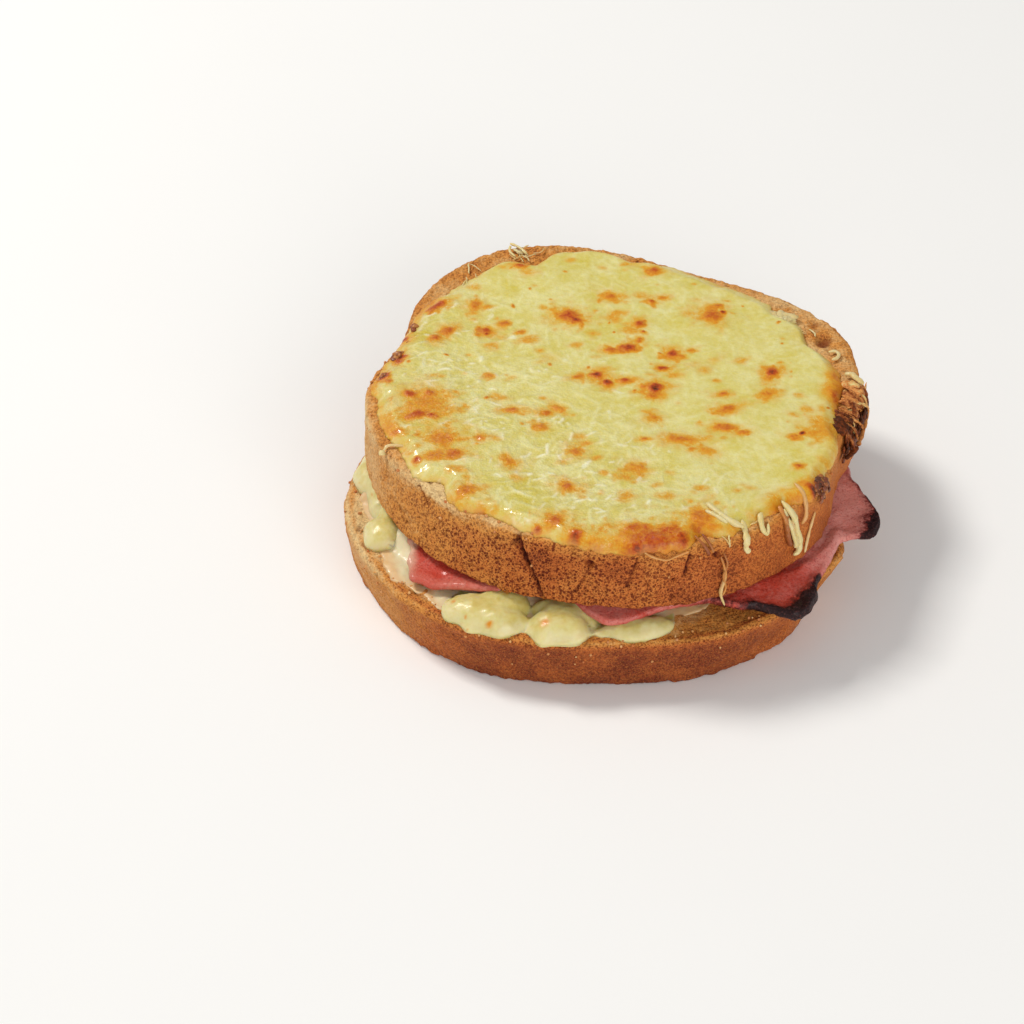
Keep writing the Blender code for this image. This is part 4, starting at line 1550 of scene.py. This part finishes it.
def make_ham(finish):
    """The slice of ham, with its ruffled, partly charred edge."""
    reach, middles = read_ham()
    bearing = bearings(HAM_AROUND)
    x, y = round_middle(bearing, USUAL_REACH)
    outer = at_bearing(smooth_ring(reach, 90), bearing) + humps(bearing, HAM_TRIM)
    outer = outer + 0.30 * waves(x, y, 0, 3.0, 101) + 0.14 * layered_waves(x, y, 0, 1.2, 108, 2)
    rings = ham_rings(bearing, outer, middles)
    x, y, z = rings[..., 0], rings[..., 1], rings[..., 2]
    radius = np.hypot(x - TOP_MIDDLE[0], y - TOP_MIDDLE[1])
    from_edge = outer[None] - radius
    width = humps(bearing, HAM_CHARRED)[None]
    stray = 1.0 * layered_waves(x, y, z, 2.6, 106, 3) * ease(width, 0.4, 2.5)
    char = ease(width + stray - from_edge, -0.7, 1.0) * ease(width, 0.3, 0.8)
    singed = humps(bearing, HAM_SINGED)[None] * (1.0 - ease(from_edge - width, 0.2, 3.4))
    char = np.maximum(char, 0.40 * np.clip(singed, 0.0, 1.0))
    blister = char * (0.55 * np.abs(layered_waves(x, y, z, 1.5, 107)) + 0.10)
    side = np.concatenate((-np.ones(HAM_RINGS), np.ones(HAM_RINGS - 1)))[:, None]
    rings[..., 2] += blister * side
    streaks = waves(bearing * 1.5, radius / 7.0, 0.0, 1.0, 109)
    streaks = streaks + 0.6 * waves(bearing * 3.1, radius / 5.0, 0.0, 1.0, 110)
    marks = {
        "char": char,
        "fat": humps(bearing, HAM_FATTY)[None] * (1.0 - ease(from_edge, 1.0, 4.0)),
        "pink": humps(bearing, HAM_PINKISH_AND_PAINTED_LIGHT)[None] + 0.0 * from_edge,
        "fibre": np.clip(streaks, 0.0, 1.0) * humps(bearing, HAM_STREAKED)[None],
        "matt": humps(bearing, HAM_MATT)[None] + 0.5 * char,
    }
    marks = {mark: np.clip(values, 0.0, 1.2) for mark, values in marks.items()}
    make_ringed_piece("ham_slice", rings, marks, finish, ["ham"])


# ------------------------------------------------------------------ burnt frill, shreds and crumbs

RIM_REACH = 62.0
# Points round a lump, and its rings.
LUMP_SIDES = 12
LUMP_RINGS = 9


def add_strands(pieces, loaf, strands, per_point, uneven, size, seed, thicker, **section):
    """Adds strands that are placed one by one, uneven in thickness, with tones that change along them."""
    for path, thick, first, last in strands:
        points = curve_through([loaf.over(*point) for point in path], per_point * len(path))
        wobble = 1.0 + uneven * layered_waves(*points.T, size, seed, 2)
        tones = np.linspace(first, last, len(points))[:, None]
        pieces.add(tube(points, thicker * thick * wobble, **section), tones)


def lump(loaf, place, halves, heading, seed):
    """Rings of a small lumpy body on the slice's skin; halves are its half length, width and height."""
    at, past, lift = place
    middle = loaf.over(at, past, lift)
    along = loaf.over(at + 0.2, past, lift) - middle
    down = loaf.over(at, past + 0.2, lift) - middle
    along /= np.linalg.norm(along)
    down -= along * np.dot(down, along)
    down /= np.linalg.norm(down)
    out = np.cross(down, along)
    major = along * math.cos(heading) + down * math.sin(heading)
    minor = np.cross(out, major)
    turn = np.linspace(0.0, math.tau, LUMP_SIDES, endpoint=False)[None, :, None]
    lean = np.radians(np.linspace(-78.0, 78.0, LUMP_RINGS))[:, None, None]
    ring = np.cos(lean) * (np.cos(turn) * major * halves[0] + np.sin(turn) * minor * halves[1])
    ring = ring + np.sin(lean) * out * halves[2]
    at_x, at_y, at_z = (ring[..., axis] + seed * 3.7 for axis in range(3))
    bumpy = 1.0 + 0.45 * layered_waves(at_x, at_y, at_z, 1.0, seed, 2)
    return middle + ring * bumpy[..., None]


# Bars of the frill's open edge: points of (bearing, past the rim, lift), thickness, tones at start and end.
FRILL_BARS = (
    (((4.5, -2.2, 0.6), (2.0, 0.6, 1.2), (0.6, 2.0, 1.8), (-0.9, 3.4, 2.4)), 1.1, 0.60, 0.86),
    (((-0.9, 3.4, 2.4), (-5.0, 4.2, 2.6), (-9.5, 4.6, 3.0), (-13.5, 4.6, 3.4)), 1.1, 0.42, 0.62),
    (((-4.6, -1.6, 0.8), (-2.8, 0.8, 1.5), (-0.9, 3.6, 2.5)), 1.2, 0.20, 0.30),
    (((-1.6, -2.4, 0.8), (-1.0, 0.0, 1.4), (-1.2, 2.4, 2.1)), 0.8, 0.10, 0.34),
    (((-9.8, -1.4, 0.8), (-8.6, 1.4, 1.9), (-7.6, 4.2, 2.7)), 1.0, 0.36, 0.56),
    (((-13.5, 4.6, 3.4), (-15.0, 4.9, 3.0), (-16.6, 5.2, 2.3), (-17.6, 5.6, 1.3)), 1.2, 0.78, 0.98),
    (((-14.8, -1.0, 0.8), (-15.0, 1.6, 2.1), (-15.2, 4.2, 2.9)), 1.4, 0.66, 0.84),
    (((-12.2, -1.8, 0.8), (-11.6, 1.0, 1.6), (-12.0, 3.6, 2.8)), 1.0, 0.52, 0.74),
)


FRILL_SEED = 17
# How many lumps of the frill's bed, near-black lumps that stand for the shade in its hollow, flakes at its
# end and crossing strands.
BED_LUMPS = 110
HOLLOW_SHADE_LUMPS = 30
END_FLAKES = 12
CROSS_STRANDS = 14
CROSS_STEPS = 14
CROSS_TONES = (0.16, 0.28, 0.40, 0.56)
# Tone of the frill's bed from its dark end to its tan end, by bearing.
BED_AT = (-14.0, -6.0, 2.0)
BED_TONES = (0.98, 0.72, 0.34)


def cross_strand(rng, loaf):
    """Path of a thin strand that runs over the frill."""
    at, past, lift = drawn(rng, (-12.0, 4.0), (-4.0, 2.0), (0.7, 1.2))
    heading = rng.normal(0.0, 0.7)
    step = rng.uniform(4.0, 9.0) / CROSS_STEPS
    sway = rng.normal(0.0, 0.16)
    path = []
    for _ in range(CROSS_STEPS):
        path.append(loaf.over(at, past, lift))
        past += math.cos(heading) * step
        at += math.degrees(math.sin(heading) * step / RIM_REACH)
        lift = min(1.9, max(0.5, lift + rng.normal(0.04, 0.14)))
        heading += sway + rng.normal(0.0, 0.16)
        if past > 10.0:
            break
    return np.array(path)


def make_frill(loaf, finish):
    """Cheese that ran over the rim at the right and fried to a dark lacy frill."""
    rng = np.random.default_rng(FRILL_SEED)
    frill = Gather()
    for number in range(BED_LUMPS):
        place = drawn(rng, (-14.5, 2.5), (-3.0, 8.0), (0.3, 1.1))
        tone = np.interp(place[0], BED_AT, BED_TONES) + rng.uniform(-0.22, 0.16)
        halves = drawn(rng, (1.3, 2.7), (0.6, 1.3), (0.3, 0.6))
        heading = math.pi / 2 + rng.normal(0.0, 0.6)
        frill.add(lump(loaf, place, halves, heading, 140 + number), tone)
    add_strands(
        frill, loaf, FRILL_BARS,
        per_point=8, uneven=0.34, size=1.1, seed=131, thicker=1.2, sides=9, flatness=0.6, twist=0.9,
    )
    # Near-black burnt lumps put in the frill's hollow as painted shade.
    for number in range(HOLLOW_SHADE_LUMPS):
        place = drawn(rng, (-12.0, -2.5), (1.8, 5.4), (0.8, 2.1))
        halves = drawn(rng, (1.0, 1.8), (0.6, 1.1), (0.35, 0.6))
        frill.add(lump(loaf, place, halves, rng.uniform(0.0, math.tau), 300 + number), 1.0)
    for number in range(END_FLAKES):
        place = drawn(rng, (-18.5, -13.0), (0.8, 6.2), (0.7, 1.9))
        halves = drawn(rng, (1.2, 2.2), (0.6, 1.1), (0.25, 0.4))
        frill.add(lump(loaf, place, halves, rng.normal(1.2, 0.7), 340 + number), rng.uniform(0.8, 1.0))
    for _ in range(CROSS_STRANDS):
        path = cross_strand(rng, loaf)
        thick = rng.uniform(0.35, 0.7) * (1.0 + 0.35 * waves(*path.T, 1.2, 130))
        frill.add(tube(path, thick, sides=7, flatness=rng.uniform(0.5, 0.9)), rng.choice(CROSS_TONES))
    frill.piece("burnt_cheese_frill", "brown", finish, ["cheese_crisp"], "cheese_burnt")


# Loose shreds: points of (bearing, past the rim, lift), thickness, tones at start and end.
LOOSE_SHREDS = (
    (((311.0, -0.8, 0.9), (310.7, 2.0, 0.5), (311.0, 5.0, 0.35), (311.8, 8.4, 0.3)), 1.7, 0.52, 0.72),
    (((311.6, 0.6, 1.0), (312.0, 3.6, 0.8), (312.9, 7.0, 0.7), (313.0, 9.6, 0.7)), 1.2, 0.20, 0.04),
    (
        ((312.0, -3.2, 2.2), (312.3, 0.0, 1.2), (313.2, 4.0, 0.9), (314.1, 8.0, 0.8),
         (313.7, 10.8, 0.8), (312.2, 11.3, 0.7)),
        1.5, 0.02, 0.03,
    ),
    (
        ((311.0, -1.6, 1.6), (311.0, 1.2, 1.3), (311.6, 4.2, 1.4), (312.4, 7.2, 1.3), (312.2, 8.8, 1.2)),
        0.95, 0.03, 0.04,
    ),
    (((310.6, -2.6, 1.8), (310.0, -0.6, 1.3), (310.5, 1.2, 1.0)), 1.0, 0.36, 0.54),
    (((318.6, -5.0, 2.6), (317.6, -1.6, 1.6), (316.2, 1.4, 1.0), (314.8, 3.6, 0.8)), 0.9, 0.22, 0.30),
    (((320.4, 4.0, 0.2), (318.6, 7.0, 0.25), (317.2, 10.4, 0.3), (316.3, 13.6, 0.3)), 0.55, 0.24, 0.10),
    (
        ((306.2, -3.4, 1.6), (304.9, -2.2, 1.5), (304.0, -0.2, 1.0), (305.0, 0.9, 0.7),
         (305.7, -0.8, 1.2)),
        0.95, 0.04, 0.03,
    ),
    (((300.8, -3.6, 1.9), (299.6, 0.2, 1.2), (299.4, 2.2, 0.9), (300.3, 4.0, 0.8)), 1.3, 0.03, 0.03),
    (((295.8, -12.0, 2.8), (296.8, -7.6, 2.7), (298.2, -3.6, 2.2), (300.0, -1.6, 1.6)), 1.4, 0.02, 0.04),
    (((294.2, -9.5, 2.8), (296.0, -6.0, 2.7), (297.0, -3.6, 2.3)), 1.1, 0.05, 0.02),
    (
        ((293.6, 2.8, 0.5), (294.3, 6.0, 0.6), (294.5, 9.0, 0.6), (293.3, 13.0, 0.9), (293.9, 16.6, 1.6)),
        0.8, 0.52, 0.05,
    ),
    (
        ((294.3, 2.0, 0.5), (295.0, 5.4, 0.7), (294.0, 8.2, 0.9), (294.5, 12.0, 0.8), (293.4, 14.6, 0.8)),
        0.6, 0.62, 0.30,
    ),
    (
        ((275.0, -1.6, 1.4), (278.0, 0.2, 0.9), (281.4, 1.2, 0.8), (283.6, 0.6, 1.0), (286.6, 0.0, 1.2)),
        0.55, 0.30, 0.34,
    ),
    (((288.6, -2.4, 1.8), (290.0, -0.4, 1.4), (291.0, 1.6, 0.8)), 0.7, 0.56, 0.74),
    (((290.4, -2.6, 1.8), (291.2, -0.6, 1.3), (291.9, 1.0, 0.9)), 0.6, 0.72, 0.50),
    (((313.4, -0.8, 1.2), (312.6, 1.0, 0.9), (311.2, 2.0, 0.8)), 1.3, 0.40, 0.48),
    (
        ((15.6, -6.8, 0.7), (15.4, -5.2, 0.8), (14.2, -4.4, 0.8), (12.8, -5.0, 0.8), (12.2, -6.6, 0.8)),
        0.75, 0.05, 0.06,
    ),
    (((6.0, -4.0, 0.9), (4.8, -2.2, 1.6), (3.4, -1.8, 2.0), (2.2, -0.4, 2.0)), 1.2, 0.04, 0.08),
    (((203.4, 0.4, 0.8), (203.0, 0.0, 0.9), (202.6, -0.3, 0.9)), 1.7, 0.04, 0.06),
    (((203.0, -0.3, 0.9), (202.4, -1.6, 0.8), (203.3, -3.6, 0.8), (204.4, -4.8, 0.9)), 0.6, 0.08, 0.16),
    (((109.0, -6.0, 0.8), (110.0, -3.4, 1.4), (111.5, -1.4, 1.6)), 0.7, 0.04, 0.06),
    (((112.0, -6.4, 0.8), (112.6, -4.0, 1.2), (111.8, -2.2, 1.6)), 0.6, 0.05, 0.05),
)
# Small lumps of cheese: bearing, half spread, nearest and furthest past the rim, lift, size, tones, how many.
SMALL_LUMPS = (
    (324.0, 2.6, -2.6, 1.8, 0.8, 0.85, 0.50, 1.00, 56),
    (152.7, 1.0, -3.2, -2.2, 1.1, 1.0, 0.45, 0.78, 5),
    (159.0, 0.8, -3.2, -2.6, 1.1, 0.8, 0.40, 0.70, 3),
    (165.6, 1.1, -3.6, -2.6, 1.2, 1.1, 0.45, 0.78, 5),
    (175.0, 1.3, -4.0, -2.8, 1.2, 1.1, 0.45, 0.78, 6),
    (34.6, 3.0, -11.8, -7.5, 0.9, 1.9, 0.00, 0.10, 16),
    (110.5, 2.0, -5.5, -3.5, 0.5, 1.0, 0.00, 0.08, 5),
)
# Tufts of fine shreds: bearing, past the rim, spread, how many.
SHRED_TUFTS = (
    (110.0, -5.0, 3.0, 8),
    (31.0, -8.2, 4.0, 4),
    (25.0, -7.4, 3.0, 3),
    (124.0, -7.4, 3.0, 6),
    (300.0, -3.0, 6.0, 5),
)
SHRED_SEED = 29
TUFT_STEPS = 10
TUFT_STEP = 0.45


def tuft_shred(rng, loaf, at, past, spread):
    """Path of a fine shred that stands out of a tuft."""
    at, past = at + rng.uniform(-spread, spread), past + rng.uniform(-1.6, 1.6)
    heading = rng.uniform(0.0, math.tau)
    lift = rng.uniform(0.2, 0.6)
    path = []
    for _ in range(TUFT_STEPS):
        path.append(loaf.over(at, past, lift))
        at += math.degrees(math.cos(heading) * TUFT_STEP / USUAL_REACH)
        past += math.sin(heading) * TUFT_STEP
        lift += rng.uniform(-0.06, 0.16)
        heading += rng.normal(0.0, 0.22)
    return path


def make_shreds(loaf, finish):
    """Shreds and nubs of cheese that hang over the rim or lie loose on the bread."""
    rng = np.random.default_rng(SHRED_SEED)
    shreds = Gather()
    add_strands(
        shreds, loaf, LOOSE_SHREDS,
        per_point=10, uneven=0.26, size=1.5, seed=111, thicker=1.3, sides=12, flatness=0.78, twist=0.8,
    )
    for at, past, spread, count in SHRED_TUFTS:
        for _ in range(count):
            path = tuft_shred(rng, loaf, at, past, spread)
            thick, tone = drawn(rng, (0.28, 0.5), (0.0, 0.20))
            shreds.add(tube(path, thick, sides=7, flatness=0.8), tone)
    seed = 240
    for at, spread, near, far, lift, size, least, most, count in SMALL_LUMPS:
        for _ in range(count):
            place = (at + rng.uniform(-spread, spread), rng.uniform(near, far), lift + rng.uniform(-0.3, 0.3))
            halves = [size * half for half in drawn(rng, (0.7, 1.4), (0.4, 0.9), (0.25, 0.55))]
            shreds.add(lump(loaf, place, halves, rng.uniform(0.0, math.tau), seed), rng.uniform(least, most))
            seed += 1
    shreds.piece("loose_shreds", "brown", finish, (), "cheese_grilled")


CRUMB_SEED = 37
CRUMBS = 230
CRUMB_SIDES = 7
CRUMB_RINGS = 5


def crumb(middle, size, number):
    """Rings of one uneven crumb."""
    rings = []
    turn = np.linspace(0.0, math.tau, CRUMB_SIDES, endpoint=False)
    for lean in np.radians(np.linspace(-75.0, 75.0, CRUMB_RINGS)):
        x = np.cos(turn) * math.cos(lean)
        y = np.sin(turn) * math.cos(lean)
        z = math.sin(lean) + 0 * turn
        uneven = 1.0 + 0.35 * waves(x * 3, y * 3, z * 3 + number, 1.5, 41)
        rings.append(middle + np.stack((x, y, z), -1) * size * uneven[:, None])
    return np.array(rings)


def make_crumbs(upper, lower, finish):
    """Toast crumbs on the rims of both slices."""
    rng = np.random.default_rng(CRUMB_SEED)
    crumbs = Gather()
    for number in range(CRUMBS):
        loaf = upper if number % 3 == 0 else lower
        at = rng.uniform(150.0, 380.0)
        past = rng.uniform(-4.0, 0.6) if number % 5 else rng.uniform(0.6, 8.0)
        size = rng.uniform(0.16, 0.42)
        middle = loaf.over(at, past, 0.5 * size)
        crumbs.add(crumb(middle, size, number), rng.uniform(0.0, 0.32))
    crumbs.piece("toast_crumbs", "brown", finish, (), "bread_crust")


# ------------------------------------------------------------------ stage


# In metres.
FLOOR_HALF = 3.0
LIT_SPOT = (0.0, 0.0, 0.02)
STUDIO_LIGHT = 0.38


def add_light(name, spot, size, power, colour):
    """A soft square light that looks at the sandwich; spot and size are in metres."""
    light = bpy.data.lights.new(name, "AREA")
    light.size = size
    light.energy = power
    light.color = colour
    lamp = put_in_scene(name, light)
    lamp.location = spot
    lamp.rotation_euler = (Vector(LIT_SPOT) - lamp.location).to_track_quat("-Z", "Y").to_euler()


def set_stage():
    """Pale floor, soft studio light and the camera."""
    corners = [(x * FLOOR_HALF, y * FLOOR_HALF, 0.0) for x, y in ((-1, -1), (1, -1), (1, 1), (-1, 1))]
    mesh = bpy.data.meshes.new("floor")
    mesh.from_pydata(corners, [], [(0, 1, 2, 3)])
    mesh.materials.append(floor_finish())
    floor = put_in_scene("floor", mesh)
    add_light("key_light", spot=(-0.75, 0.45, 1.15), size=0.35, power=13.0, colour=(1.0, 0.97, 0.92))
    add_light("front_light", spot=(0.45, -1.25, 0.5), size=1.1, power=11.0, colour=(1.0, 0.98, 0.96))
    world = bpy.data.worlds.new("studio")
    world.use_nodes = True
    background = world.node_tree.nodes["Background"].inputs
    background["Color"].default_value = (1.0, 1.0, 1.0, 1.0)
    background["Strength"].default_value = STUDIO_LIGHT
    scene = bpy.context.scene
    scene.world = world
    scene.view_settings.view_transform = "Standard"
    lens = bpy.data.cameras.new("camera")
    lens.lens = CAMERA_LENS
    lens.sensor_width = SENSOR
    camera = put_in_scene("camera", lens)
    rise = math.radians(CAMERA_RISE)
    away = Vector((0.0, -math.cos(rise), math.sin(rise))) * CAMERA_AWAY
    camera.location = (Vector(LOOK_AT) + away) * MM
    camera.rotation_euler = (math.pi / 2 - rise, 0.0, 0.0)
    scene.camera = camera


# ------------------------------------------------------------------ the sandwich

set_stage()
top_slice = Slice("bread_top", TOP_MIDDLE, TOP_ROUNDING)
bottom_slice = Slice("bread_bottom", BOTTOM_MIDDLE, BOTTOM_ROUNDING)
limit_by = (solid_of("ham"), top_slice)
make_slice(
    "toasted_slice_top",
    node="bread_top",
    loaf=top_slice,
    finish=bread_finish("toasted_bread", spacing=0.86, size=0.46, fleck_size=0.26, roughness=0.62),
    toast=top_toast,
    porous=top_porous,
    cracks=TOP_CRACKS,
    hollows=TOP_HOLLOWS,
    seed=3,
)
make_slice(
    "toasted_slice_bottom",
    node="bread_bottom",
    loaf=bottom_slice,
    finish=bread_finish("dark_toasted_bread", spacing=0.72, size=0.44, fleck_size=0.30, roughness=0.55),
    toast=bottom_toast,
    porous=bottom_porous,
    cracks=BOTTOM_CRACKS,
    hollows=BOTTOM_HOLLOWS,
    seed=5,
)
make_top_cheese(top_slice, grilled_cheese_finish())
soft_cheese = soft_finish(
    "soft_cheese",
    raw=FILLING_CREAM,
    deep=FILLING_DEEP,
    golden=CHEESE_AMBER,
    brown=CHEESE_RUST,
    roughness=0.36,
    coat=0.16,
    subsurface=0.7,
    milky=True,
)
make_filling(limit_by, bottom_slice, soft_cheese)
white_sauce = soft_finish(
    "white_sauce",
    raw=SAUCE_CREAM,
    deep=SAUCE_DEEP,
    golden=CRUST_GOLD,
    brown=CRUST_AMBER,
    roughness=0.38,
    coat=0.2,
    subsurface=0.3,
)
make_sauce(limit_by, bottom_slice, white_sauce)
make_ham(ham_finish())
make_frill(top_slice, frill_finish())
cheese_shreds = soft_finish(
    "cheese_shreds",
    raw=SHRED_CREAM,
    deep=SHRED_DEEP,
    golden=SHRED_GOLD,
    brown=FRIED_BROWN,
    roughness=0.42,
    coat=0.12,
    subsurface=0.2,
)
make_shreds(top_slice, cheese_shreds)
toast_crumbs = soft_finish(
    "toast_crumbs",
    raw=CRUMB_PALE,
    deep=CRUST_GOLD,
    golden=CRUST_AMBER,
    brown=CRUST_BROWN,
    roughness=0.7,
)
make_crumbs(top_slice, bottom_slice, toast_crumbs)
